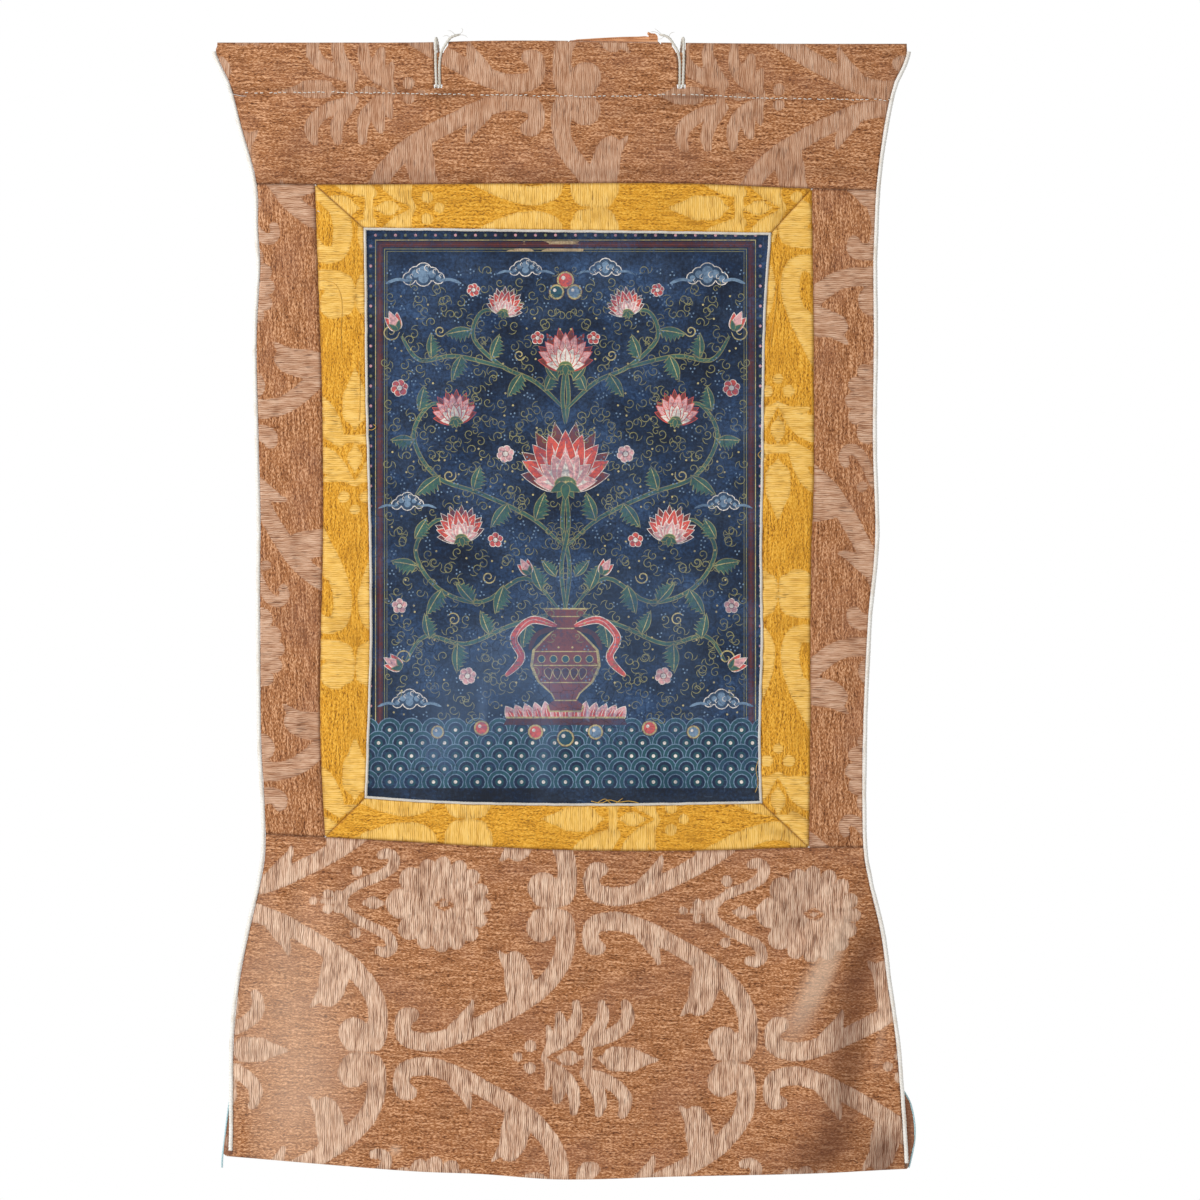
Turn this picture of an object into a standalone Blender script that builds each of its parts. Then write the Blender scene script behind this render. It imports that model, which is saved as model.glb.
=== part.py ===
# A thangka scroll painting with the lath in its heading, hung flat by its top edge.
# The face looks along -Y, X runs to the right and the top edge hangs at Z = 0.
# Sizes are millimetres here; place() turns them into metres.

import math
from collections import namedtuple

import bmesh
import bpy
from mathutils import Vector

CLOTH = 1.5             # thickness of every cloth
GAP = 0.36              # room left between pieces that are sewn or laid together
STITCH_Z = -55.0        # where the casing is sewn shut
CASING_BACK_Z = -63.0   # lower end of the heading's back layer

LATH_THICK = 5.0
LATH_TOP = -5.2         # under the fold of the heading
LATH_SLOPE = -1.8       # the top of its right half lies lower, as the fold does
LATH_BOTTOM = -43.6
LATH_END = -330.0, 327.0
LATH_Y = -1.3           # middle of the lath's thickness
TONGUE = 9.0            # height of the split piece of lath that stands up

BACK_Y = LATH_Y + LATH_THICK / 2 + GAP + CLOTH / 2       # heading's back layer
FRONT_Y = LATH_Y - LATH_THICK / 2 - GAP - CLOTH / 2      # heading's front layer
FOLD_R = (BACK_Y - FRONT_Y) / 2                          # fold over the lath

HEM_HEIGHT = 86.0       # foot's cloth turned up behind
HEM_Y = 4.2             # hem's back layer, behind the front one

EDGE_CORD_R = 1.75
PIPING_R = 1.35
TIE_R = 1.3

# the long sides of the cloth, from the top down
Side = namedtuple("Side", "z left right")
SIDES = [
    Side(0, -341, 341), Side(-9, -347, 344), Side(-24, -342, 340), Side(-43, -333, 331),
    Side(-83, -322.5, 322), Side(-143, -306.5, 314), Side(-190, -305, 311.5),
    Side(-225, -303, 310.5), Side(-300, -306.5, 311), Side(-400, -304.5, 310),
    Side(-485, -302.5, 312.5), Side(-520, -303, 311), Side(-580, -303, 305),
    Side(-700, -302, 300), Side(-765, -298.5, 299.5), Side(-812, -298, 301),
    Side(-843, -303, 306.5), Side(-891, -314, 318), Side(-940, -323.5, 324.5),
    Side(-1000, -329.5, 333), Side(-1075, -330, 339), Side(-1142, -331, 343),
]

# seams and edges that run across
Across = namedtuple("Across", "x top heading_seam foot_seam bottom")
ACROSS = [
    Across(-350, -1.4, -142.5, -790, -1114), Across(-233, -1.4, -143.5, -796.5, -1124),
    Across(-143, -1.2, -143, -801.5, -1131), Across(-80, 0.4, -142.6, -805.5, -1133.5),
    Across(0, 0.4, -142.3, -809, -1139), Across(117, -1.6, -142.2, -810, -1136),
    Across(249, -2.6, -147.6, -806.5, -1133), Across(350, -2.6, -150, -806, -1128),
]

# the gold border: its outer sides, and the line of the piping round the picture
Border = namedtuple("Border", "z outer_left inner_left inner_right outer_right")
BORDER = [
    Border(-144, -248, -198, 208, 249), Border(-190, -246.5, -198, 207, 249.5),
    Border(-262, -244, -197, 202, 250.5), Border(-350, -241, -196.3, 199.8, 251),
    Border(-440, -240, -194, 199, 251), Border(-510, -240.3, -192.5, 197.8, 248.5),
    Border(-600, -242.3, -192, 198.8, 247.5), Border(-670, -243, -194, 196.8, 247.5),
    Border(-730, -241.5, -196, 196.8, 247), Border(-810, -237, -199, 200, 246),
]
Window = namedtuple("Window", "x top bottom")
WINDOW = [
    Window(-200, -188, -756), Window(-123, -188.6, -761), Window(-20, -190, -763.3),
    Window(77, -191, -763.3), Window(208, -193, -761),
]

# the turned-up hem stands out beside the front at both lower corners
Hem = namedtuple("Hem", "z left right")
HEM = [
    Hem(-1046, -330, 338), Hem(-1062, -333.5, 347), Hem(-1083, -336.5, 351.5),
    Hem(-1100, -338.5, 351.5), Hem(-1116, -340.5, 348.5), Hem(-1130, -341, 345),
]

# soft ridges (height above 0) and hollows of the cloth; angle from +X, in degrees
Fold = namedtuple("Fold", "x z angle length width height")
FOLDS = [
    Fold(250, -905, 63, 75, 24, 7.0), Fold(300, -925, 70, 70, 20, -5.0),
    Fold(262, -1045, 80, 60, 24, 5.0), Fold(326, -1092, 62, 42, 24, -5.0),
    Fold(330, -1010, 76, 48, 16, 3.5), Fold(-262, -862, 96, 46, 14, -3.5),
    Fold(-236, -872, 96, 52, 20, 3.0), Fold(-215, -1010, 38, 90, 46, 4.0),
    Fold(-292, -1066, 88, 52, 26, -3.0), Fold(-30, -958, 12, 150, 64, 3.0),
    Fold(70, -1088, 6, 120, 38, -3.0), Fold(-276, -256, 8, 46, 28, 2.6),
    Fold(-274, -566, -4, 46, 34, 2.2), Fold(282, -610, 28, 46, 20, 2.6),
    Fold(284, -672, 20, 46, 18, -2.6), Fold(284, -724, 12, 46, 18, 2.6),
    Fold(-20, -470, 84, 260, 140, 3.6), Fold(80, -306, 30, 120, 60, -2.0),
    Fold(-90, -640, -24, 120, 62, -2.6), Fold(-150, -116, 2, 120, 17, -1.8),
    Fold(190, -120, -3, 110, 18, -1.8),
]

# the slits for the ties, cut from the top fold down to a hole under the lath
Slit = namedtuple("Slit", "z near far")      # distances from the slit's straight side
SLIT = [
    Slit(8, 0, 25.5), Slit(2, 0, 19.6), Slit(-5, 0, 14.4), Slit(-11, 0, 10.2), Slit(-23, 0, 8.0),
    Slit(-36, 0.3, 8.0), Slit(-43, 0, 8.8), Slit(-50, 0.6, 7.8),
]
SLIT_BOTTOM = -48.0
LEFT_SLIT_X = -129.2
RIGHT_SLIT_X = 122.6
WORN_FOLD = 5.0, 98.0   # here the fold is worn through and the lath shows

Point = namedtuple("Point", "x z depth")     # depth grows away from the viewer


def curve_through(rows, across, value):
    """Smooth line through a table's rows, as a function of its first column."""
    knots = sorted((getattr(row, across), getattr(row, value)) for row in rows)
    slopes = []
    for i, (t, v) in enumerate(knots):
        before, after = knots[max(i - 1, 0)], knots[min(i + 1, len(knots) - 1)]
        slopes.append((after[1] - before[1]) / (after[0] - before[0]))

    def line(t):
        t = min(max(t, knots[0][0]), knots[-1][0])
        i = max(k for k in range(len(knots) - 1) if knots[k][0] <= t)
        (t0, v0), (t1, v1) = knots[i], knots[i + 1]
        span = t1 - t0
        s = (t - t0) / span
        return ((1 + 2 * s) * (1 - s) ** 2 * v0 + s * (1 - s) ** 2 * span * slopes[i]
                + s * s * (3 - 2 * s) * v1 + s * s * (s - 1) * span * slopes[i + 1])
    return line


side_left = curve_through(SIDES, "z", "left")
side_right = curve_through(SIDES, "z", "right")
top_edge = curve_through(ACROSS, "x", "top")
heading_seam = curve_through(ACROSS, "x", "heading_seam")
foot_seam = curve_through(ACROSS, "x", "foot_seam")
bottom_edge = curve_through(ACROSS, "x", "bottom")
outer_left = curve_through(BORDER, "z", "outer_left")
outer_right = curve_through(BORDER, "z", "outer_right")
inner_left = curve_through(BORDER, "z", "inner_left")
inner_right = curve_through(BORDER, "z", "inner_right")
window_top = curve_through(WINDOW, "x", "top")
window_bottom = curve_through(WINDOW, "x", "bottom")
hem_left = curve_through(HEM, "z", "left")
hem_right = curve_through(HEM, "z", "right")
slit_near = curve_through(SLIT, "z", "near")
slit_far = curve_through(SLIT, "z", "far")


def ease(t):
    t = min(max(t, 0.0), 1.0)
    return t * t * (3 - 2 * t)


def mix(a, b, t):
    return a + (b - a) * t


def relief(x, z):
    """How far the folds lift the cloth away from the viewer at a place."""
    lift = 0.0
    for fold in FOLDS:
        turn = math.radians(fold.angle)
        along = (x - fold.x) * math.cos(turn) + (z - fold.z) * math.sin(turn)
        off = (z - fold.z) * math.cos(turn) - (x - fold.x) * math.sin(turn)
        lift += fold.height * math.exp(-(along / fold.length) ** 2 - (off / fold.width) ** 2)
    return -lift * ease((STITCH_Z - 8 - z) / 30)


def casing_depth(z):
    """Middle of the front layer: forward over the lath, level below the stitching."""
    return FRONT_Y * ease((z - STITCH_Z + 1) / (LATH_BOTTOM - STITCH_Z + 1))


def place(point):
    return Vector((point.x, point.depth, point.z)) / 1000


def add_object(name, data, colour, roughness):
    obj = bpy.data.objects.new(name, data)
    collection.objects.link(obj)
    material = bpy.data.materials.new(name)
    material.use_nodes = True
    shader = material.node_tree.nodes["Principled BSDF"]
    shader.inputs["Base Color"].default_value = (*colour, 1)
    shader.inputs["Roughness"].default_value = roughness
    data.materials.append(material)
    return obj


def add_sheet(name, grid, colour, is_open=None):
    """A cloth: the grid's middle surface, thickened to both sides.

    is_open(row, column) leaves out the face between that row and column and the next.
    """
    bm = bmesh.new()
    corners = [[bm.verts.new(place(point)) for point in row] for row in grid]
    for r in range(len(grid) - 1):
        for c in range(len(grid[0]) - 1):
            if is_open and is_open(r, c):
                continue
            bm.faces.new((corners[r][c], corners[r][c + 1], corners[r + 1][c + 1], corners[r + 1][c]))
    loose = [vert for vert in bm.verts if not vert.link_faces]
    bmesh.ops.delete(bm, geom=loose, context="VERTS")
    mesh = bpy.data.meshes.new(name)
    bm.to_mesh(mesh)
    bm.free()
    mesh.shade_smooth()
    obj = add_object(name, mesh, colour, 0.8)
    thickness = obj.modifiers.new("Thickness", "SOLIDIFY")
    thickness.thickness = CLOTH / 1000
    thickness.offset = 0
    thickness.use_even_offset = True
    return obj


def patch(left, right, bottom, top, columns, rows):
    """Grid of points between two sides, given by Z, and a lower and upper line, given by X."""
    grid = []
    for r in range(rows + 1):
        line = []
        for c in range(columns + 1):
            x, z = 0.0, mix(bottom(0), top(0), r / rows)
            for _ in range(8):
                x = mix(left(z), right(z), c / columns)
                z = mix(bottom(x), top(x), r / rows)
            line.append(Point(x, z, relief(x, z)))
        grid.append(line)
    return grid


def moved(line, by):
    return lambda t: line(t) + by


def add_tube(name, points, radius, colour):
    """A round cord along points, with closed ends."""
    data = bpy.data.curves.new(name, "CURVE")
    data.dimensions = "3D"
    data.bevel_depth = radius / 1000
    data.bevel_resolution = 2
    data.use_fill_caps = True
    spline = data.splines.new("POLY")
    spline.points.add(len(points) - 1)
    for knot, point in zip(spline.points, points):
        knot.co = (*place(point), 1)
    return add_object(name, data, colour, 0.9)


def along_route(route, step):
    """Points about step apart on a smooth curve through a route."""
    points = []
    last = len(route) - 1
    for i in range(last):
        a, b, c, d = (Vector(route[min(max(i + k, 0), last)]) for k in (-1, 0, 1, 2))
        count = max(1, round((c - b).length / step))
        for k in range(count):
            t = k / count
            spot = 0.5 * (2 * b + (c - a) * t + (2 * a - 5 * b + 4 * c - d) * t ** 2
                          + (3 * b - a - 3 * c + d) * t ** 3)
            points.append(Point(*spot))
    points.append(route[-1])
    return points


def make_heading():
    """Front layer, fold over the lath and back layer, in one cloth with two slits."""
    inner = 280
    panel_steps = [0, 0.25, 0.5, 0.75]
    casing_heights = [-64, -56, -52, SLIT_BOTTOM, -44, -40, -30, -20, -14, -10]
    fold_steps = [0, 30, 60, 90, 120, 150, 180]
    back_heights = [-12, -24, -40, -50, CASING_BACK_Z]

    def near_side(reach):
        return lambda z: mix(-inner, side_left(z) + GAP / 2, reach)

    def far_side(reach):
        return lambda z: mix(inner, side_right(z) - GAP / 2, reach)

    def fixed(x):
        return lambda z: x

    columns = [near_side(1), near_side(0.45), fixed(-inner), fixed(-235), fixed(-190), fixed(-152)]
    left_slit = len(columns)
    columns += [lambda z: LEFT_SLIT_X + slit_near(z), lambda z: LEFT_SLIT_X + slit_far(z)]
    columns += [fixed(-75), fixed(-35)]
    worn_from = len(columns)
    columns += [fixed(WORN_FOLD[0]), fixed(50), fixed(WORN_FOLD[1])]
    worn_to = len(columns) - 1
    right_slit = len(columns)
    columns += [lambda z: RIGHT_SLIT_X - slit_far(z), lambda z: RIGHT_SLIT_X - slit_near(z)]
    columns += [fixed(155), fixed(195), fixed(235), fixed(inner), far_side(0.45), far_side(1)]

    def cross(line, height):
        """Where a column crosses a height, itself a function of X."""
        x = line(-100)
        for _ in range(6):
            z = height(x)
            x = line(z)
        return x, z

    def front_height(step):
        return lambda x: mix(heading_seam(x) + GAP / 2, casing_heights[0], step)

    heights = [front_height(step) for step in panel_steps]
    heights += [fixed(z) for z in casing_heights]
    grid = []
    for height in heights:
        crossings = [cross(line, height) for line in columns]
        grid.append([Point(x, z, casing_depth(z) + relief(x, z)) for x, z in crossings])
    fold_start = len(grid)
    for angle in fold_steps:
        turn = math.radians(angle)
        rise = FOLD_R * (math.sin(turn) - 1) - CLOTH / 2
        row = []
        for line in columns:
            x, z = cross(line, lambda x: top_edge(x) + rise)
            row.append(Point(x, z, LATH_Y - FOLD_R * math.cos(turn)))
        grid.append(row)
    for c in range(worn_from + 1, worn_to):
        point = grid[fold_start][c]
        grid[fold_start][c] = point._replace(z=top_edge(point.x) - 0.3)
    for z in back_heights:
        grid.append([Point(line(z), z, BACK_Y) for line in columns])

    fold_end = fold_start + len(fold_steps) - 1
    back_hole = fold_end + 1 + back_heights.index(-40)
    hole = len(panel_steps) + casing_heights.index(SLIT_BOTTOM)

    def is_open(r, c):
        in_slit = c in (left_slit, right_slit) and (hole <= r <= fold_end or r == back_hole)
        in_worn = worn_from <= c < worn_to and fold_start <= r < fold_end
        return in_slit or in_worn

    add_sheet("heading", grid, (0.42, 0.2, 0.105), is_open)


def make_lath():
    """A flat split lath, notched for the ties, with one split edge standing up."""
    left, right = LATH_END
    start, end = WORN_FOLD
    low = LATH_TOP + LATH_SLOPE
    outline = [
        (left, LATH_BOTTOM), (right, LATH_BOTTOM), (right, low), (RIGHT_SLIT_X + 2, low),
        (RIGHT_SLIT_X - 3, -12), (RIGHT_SLIT_X - 10, -12), (RIGHT_SLIT_X - 19, low), (end - 2, LATH_TOP),
        (end - 4, TONGUE - 3), (end - 13, TONGUE), (end - 10, 4), (end - 20, 4.6), (start + 42, 3.4),
        (start + 4, 0.4), (start + 3, LATH_TOP), (LEFT_SLIT_X + 22, LATH_TOP), (LEFT_SLIT_X + 10, -12),
        (LEFT_SLIT_X + 3, -12), (LEFT_SLIT_X - 2, LATH_TOP - 1), (left, LATH_TOP - 1.4),
    ]
    data = bpy.data.curves.new("lath", "CURVE")
    data.dimensions = "2D"
    data.fill_mode = "BOTH"
    data.extrude = LATH_THICK / 2 / 1000
    spline = data.splines.new("POLY")
    spline.points.add(len(outline) - 1)
    for knot, (x, z) in zip(spline.points, outline):
        knot.co = (x / 1000, z / 1000, 0, 1)
    spline.use_cyclic_u = True
    lath = add_object("lath", data, (0.72, 0.42, 0.2), 0.6)
    lath.location.y = LATH_Y / 1000
    lath.rotation_euler.x = math.radians(90)


def make_side_strips():
    left = patch(moved(side_left, GAP / 2), moved(outer_left, -GAP / 2),
                 moved(foot_seam, GAP / 2), moved(heading_seam, -GAP / 2), 2, 24)
    right = patch(moved(outer_right, GAP / 2), moved(side_right, -GAP / 2),
                  moved(foot_seam, GAP / 2), moved(heading_seam, -GAP / 2), 2, 24)
    add_sheet("side_strip_left", left, (0.42, 0.22, 0.12))
    add_sheet("side_strip_right", right, (0.42, 0.22, 0.12))


def make_border():
    """Four gold strips, mitred at the corners, between the brown cloth and the piping."""
    room = PIPING_R + GAP
    outer = {"left": moved(outer_left, GAP / 2), "right": moved(outer_right, -GAP / 2),
             "top": moved(heading_seam, -GAP / 2), "bottom": moved(foot_seam, GAP / 2)}
    inner = {"left": moved(inner_left, -room), "right": moved(inner_right, room),
             "top": moved(window_top, room), "bottom": moved(window_bottom, -room)}

    def corner(lines, side, end):
        x = z = 0.0
        for _ in range(8):
            x = lines[side](z)
            z = lines[end](x)
        return x, z

    def mitre(side, end, by_x, shift):
        (x0, z0), (x1, z1) = corner(outer, side, end), corner(inner, side, end)
        if by_x:
            return lambda x: z0 + (x - x0) * (z1 - z0) / (x1 - x0) + shift
        return lambda z: x0 + (z - z0) * (x1 - x0) / (z1 - z0) + shift

    gold = (0.72, 0.38, 0.06)
    slant = GAP * 0.7
    add_sheet("border_left", patch(outer["left"], inner["left"], mitre("left", "bottom", True, slant),
                                   mitre("left", "top", True, -slant), 2, 20), gold)
    add_sheet("border_right", patch(inner["right"], outer["right"], mitre("right", "bottom", True, slant),
                                    mitre("right", "top", True, -slant), 2, 20), gold)
    add_sheet("border_top", patch(mitre("left", "top", False, slant), mitre("right", "top", False, -slant),
                                  inner["top"], outer["top"], 14, 2), gold)
    add_sheet("border_bottom", patch(mitre("left", "bottom", False, slant),
                                     mitre("right", "bottom", False, -slant),
                                     outer["bottom"], inner["bottom"], 14, 2), gold)


def make_picture():
    room = PIPING_R + GAP
    grid = patch(moved(inner_left, room), moved(inner_right, -room),
                 moved(window_bottom, room), moved(window_top, -room), 12, 16)
    add_sheet("picture", grid, (0.1, 0.13, 0.19))


def make_piping():
    """A thin white cord round the picture, in four lengths."""
    white = (0.8, 0.78, 0.74)
    reach = PIPING_R + GAP / 2
    for name, line, low, high in (("piping_left", inner_left, window_bottom, window_top),
                                  ("piping_right", inner_right, window_bottom, window_top)):
        z0 = low(line(-760)) + reach
        z1 = high(line(-190)) - reach
        steps = [mix(z0, z1, k / 20) for k in range(21)]
        add_tube(name, [Point(line(z), z, relief(line(z), z)) for z in steps], PIPING_R, white)
    for name, line in (("piping_top", window_top), ("piping_bottom", window_bottom)):
        x0 = inner_left(line(-200)) - PIPING_R
        x1 = inner_right(line(200)) + PIPING_R
        steps = [mix(x0, x1, k / 14) for k in range(15)]
        add_tube(name, [Point(x, line(x), relief(x, line(x))) for x in steps], PIPING_R, white)


def make_foot():
    """Foot panel with its lower edge turned up behind as a flat pocket."""
    columns = 20
    front_steps = [k / 11 for k in range(12)]
    fold_steps = [45, 90, 135]
    hem_steps = [0.04, 0.28, 0.52, 0.76, 1]
    turn_r = HEM_Y / 2

    def front_point(share, step):
        x, z = 0.0, mix(-810, -1136, step)
        for _ in range(8):
            x = mix(side_left(z) + GAP / 2, side_right(z) - GAP / 2, share)
            z = mix(foot_seam(x) - GAP / 2, bottom_edge(x) + CLOTH / 2 + turn_r, step)
        return Point(x, z, relief(x, z))

    def hem_point(share, height, depth):
        x = mix(-330, 340, share)
        z = bottom_edge(x) + height
        x = mix(hem_left(z), hem_right(z), share)
        return Point(x, z, relief(x, z) + depth)

    shares = [c / columns for c in range(columns + 1)]
    grid = [[front_point(share, step) for share in shares] for step in front_steps]
    for angle in fold_steps:
        turn = math.radians(angle)
        height = CLOTH / 2 + turn_r - turn_r * math.sin(turn)
        row = []
        for share in shares:
            start = front_point(share, 1)
            end = hem_point(share, height, HEM_Y)
            x = mix(start.x, end.x, angle / 180)
            z = bottom_edge(start.x) + height
            row.append(Point(x, z, relief(start.x, z) + turn_r - turn_r * math.cos(turn)))
        grid.append(row)
    for step in hem_steps:
        grid.append([hem_point(share, HEM_HEIGHT * step, HEM_Y) for share in shares])
    add_sheet("foot_panel", grid, (0.46, 0.24, 0.14))


def make_edge_cords():
    """White cords sewn down both long edges, from the heading's shoulders to the hem."""
    reach = EDGE_CORD_R + GAP * 1.5
    for name, line, sign in (("edge_cord_left", side_left, -1), ("edge_cord_right", side_right, 1)):
        end = bottom_edge(line(-1130)) + 6
        heights = [-11 - 7 * k for k in range(8)]
        heights += [mix(-66, end, k / 54) for k in range(55)]
        points = []
        for z in heights:
            slope = (line(z + 4) - line(z - 4)) / 8
            out = sign * reach * math.hypot(1, slope)
            points.append(Point(line(z) + out, z, casing_depth(z) + relief(line(z), z)))
        add_tube(name, points, EDGE_CORD_R, (0.78, 0.77, 0.74))


def make_ties():
    """Each tie runs from its frayed knot down the slit, under the lath, up behind,
    over the top and down the slit again, and ends behind the heading."""
    behind = BACK_Y + CLOTH / 2 + GAP + TIE_R
    front = FRONT_Y - 0.6
    under = LATH_BOTTOM - GAP - TIE_R - 0.2
    Knot = namedtuple("Knot", "x z depth")       # x from the slit's straight side
    rows = [
        Knot(27, 6.0, front + 1.2), Knot(21.5, 5.0, front), Knot(16.4, 2.2, front - 0.6),
        Knot(11.5, -4.6, front - 0.5), Knot(7.8, -11.4, front - 0.2), Knot(5.9, -22, front),
        Knot(5.8, -34, front), Knot(5.9, -41, front), Knot(6.2, -44, front + 0.1),
        Knot(6.2, under, LATH_Y - LATH_THICK / 2 + 0.3), Knot(6.2, under, LATH_Y + LATH_THICK / 2),
        Knot(6.0, -43.6, behind - 0.5), Knot(5.6, -36, behind + 0.5), Knot(5.0, -16, behind + 0.3),
        Knot(4.0, -4, behind), Knot(3.0, 1.6, behind - 2.4), Knot(2.2, 2.4, LATH_Y - 1.4),
        Knot(2.0, -1.6, front + 0.6), Knot(1.9, -8, front), Knot(1.9, -20, front),
        Knot(2.3, -34, front), Knot(2.6, -41, front), Knot(2.6, -44, front + 0.1),
        Knot(2.6, under, LATH_Y - LATH_THICK / 2 + 0.3), Knot(2.6, under, LATH_Y + LATH_THICK / 2),
        Knot(2.4, -46.5, behind - 0.1), Knot(1.6, -52, behind + 0.4), Knot(-0.6, -60, behind + 0.8),
    ]
    for name, x, sign in (("tie_left", LEFT_SLIT_X, 1), ("tie_right", RIGHT_SLIT_X, -1)):
        route = [Point(x + sign * row.x, row.z, row.depth) for row in rows]
        add_tube(name, along_route(route, 3.4), TIE_R, (0.74, 0.72, 0.68))


for old in list(bpy.data.objects):
    bpy.data.objects.remove(old)
collection = bpy.data.collections.new("thangka_scroll")
bpy.context.scene.collection.children.link(collection)

make_heading()
make_lath()
make_side_strips()
make_border()
make_picture()
make_piping()
make_foot()
make_edge_cords()
make_ties()
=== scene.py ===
# A painted scroll in a brown damask mounting with a gold border, hung flat by the lath in its heading.
# The tables are in millimetres: x to the right, z up from the hanging edge, depth away from the viewer.

import math

import bpy
import numpy as np
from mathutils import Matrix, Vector
from mathutils.bvhtree import BVHTree
from mathutils.geometry import delaunay_2d_cdt


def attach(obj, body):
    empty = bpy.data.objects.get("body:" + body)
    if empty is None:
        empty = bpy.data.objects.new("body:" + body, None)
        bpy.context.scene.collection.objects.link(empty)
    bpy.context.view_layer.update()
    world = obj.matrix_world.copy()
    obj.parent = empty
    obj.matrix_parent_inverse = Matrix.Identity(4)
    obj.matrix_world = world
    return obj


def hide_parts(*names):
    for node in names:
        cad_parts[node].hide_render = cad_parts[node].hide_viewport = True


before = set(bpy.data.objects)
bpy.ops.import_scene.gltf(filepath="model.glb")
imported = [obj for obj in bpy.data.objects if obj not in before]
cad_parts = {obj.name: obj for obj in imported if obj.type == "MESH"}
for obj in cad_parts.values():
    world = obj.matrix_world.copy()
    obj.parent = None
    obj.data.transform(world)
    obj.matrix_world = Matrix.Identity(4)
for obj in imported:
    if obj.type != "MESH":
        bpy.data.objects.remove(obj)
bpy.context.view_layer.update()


# the shapes of the cloth, on the same lines as the solids

cloth = dict(solid=1.5, thick=1.1, gap=0.36, stitchZ=-55.0, backEnd=-63.0, frontY=-4.91, backY=2.31,
             foldR=3.61, hemY=4.2, hemHeight=86.0)
lath = dict(y=-1.3, thick=5.0, top=-5.2, slope=-1.8, bottom=-43.6, left=-330.0, right=327.0, tongue=9.0)
cord = dict(edgeR=1.75, pipingR=1.35, tieR=1.3)
slit = dict(leftX=-129.2, rightX=122.6, bottom=-48.0, worn=(5.0, 98.0))

sideRows = [  # z, left side, right side
    (0, -341, 341), (-9, -347, 344), (-24, -342, 340), (-43, -333, 331), (-83, -322.5, 322),
    (-143, -306.5, 314), (-190, -305, 311.5), (-225, -303, 310.5), (-300, -306.5, 311),
    (-400, -304.5, 310), (-485, -302.5, 312.5), (-520, -303, 311), (-580, -303, 305),
    (-700, -302, 300), (-765, -298.5, 299.5), (-812, -298, 301), (-843, -303, 306.5),
    (-891, -314, 318), (-940, -323.5, 324.5), (-1000, -329.5, 333), (-1075, -330, 339),
    (-1142, -331, 343),
]
acrossRows = [  # x, top edge, heading seam, foot seam, bottom edge
    (-350, -1.4, -142.5, -790, -1114), (-233, -1.4, -143.5, -796.5, -1124),
    (-143, -1.2, -143, -801.5, -1131), (-80, 0.4, -142.6, -805.5, -1133.5),
    (0, 0.4, -142.3, -809, -1139), (117, -1.6, -142.2, -810, -1136),
    (249, -2.6, -147.6, -806.5, -1133), (350, -2.6, -150, -806, -1128),
]
borderRows = [  # z, outer left, inner left, inner right, outer right
    (-144, -248, -198, 208, 249), (-190, -246.5, -198, 207, 249.5),
    (-262, -244, -197, 202, 250.5), (-350, -241, -196.3, 199.8, 251),
    (-440, -240, -194, 199, 251), (-510, -240.3, -192.5, 197.8, 248.5),
    (-600, -242.3, -192, 198.8, 247.5), (-670, -243, -194, 196.8, 247.5),
    (-730, -241.5, -196, 196.8, 247), (-810, -237, -199, 200, 246),
]
windowRows = [  # x, top, bottom of the picture
    (-200, -188, -756), (-123, -188.6, -761), (-20, -190, -763.3), (77, -191, -763.3),
    (208, -193, -761),
]
hemRows = [  # z, left, right end of the turned-up hem
    (-1046, -330, 338), (-1062, -333.5, 347), (-1083, -336.5, 351.5), (-1100, -338.5, 351.5),
    (-1116, -340.5, 348.5), (-1130, -341, 345),
]
slitRows = [  # z, near and far side of the slits for the ties
    (8, 0, 25.5), (2, 0, 19.6), (-5, 0, 14.4), (-11, 0, 10.2), (-23, 0, 8.0), (-36, 0.3, 8.0),
    (-43, 0, 8.8), (-50, 0.6, 7.8),
]
foldRows = [  # x, z, angle, length, width, height of the main ridges and hollows
    (250, -905, 63, 75, 24, 7.0), (300, -925, 70, 70, 20, -5.0), (262, -1045, 80, 60, 24, 5.0),
    (326, -1092, 62, 42, 24, -5.0), (330, -1010, 76, 48, 16, 3.5), (-262, -862, 96, 46, 14, -3.5),
    (-236, -872, 96, 52, 20, 3.0), (-215, -1010, 38, 90, 46, 4.0), (-292, -1066, 88, 52, 26, -3.0),
    (-30, -958, 12, 150, 64, 3.0), (70, -1088, 6, 120, 38, -3.0), (-276, -256, 8, 46, 28, 2.6),
    (-274, -566, -4, 46, 34, 2.2), (282, -610, 28, 46, 20, 2.6), (284, -672, 20, 46, 18, -2.6),
    (284, -724, 12, 46, 18, 2.6), (-20, -470, 84, 260, 140, 3.6), (80, -306, 30, 120, 60, -2.0),
    (-90, -640, -24, 120, 62, -2.6), (-150, -116, 2, 120, 17, -1.8), (190, -120, -3, 110, 18, -1.8),
]
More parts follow.
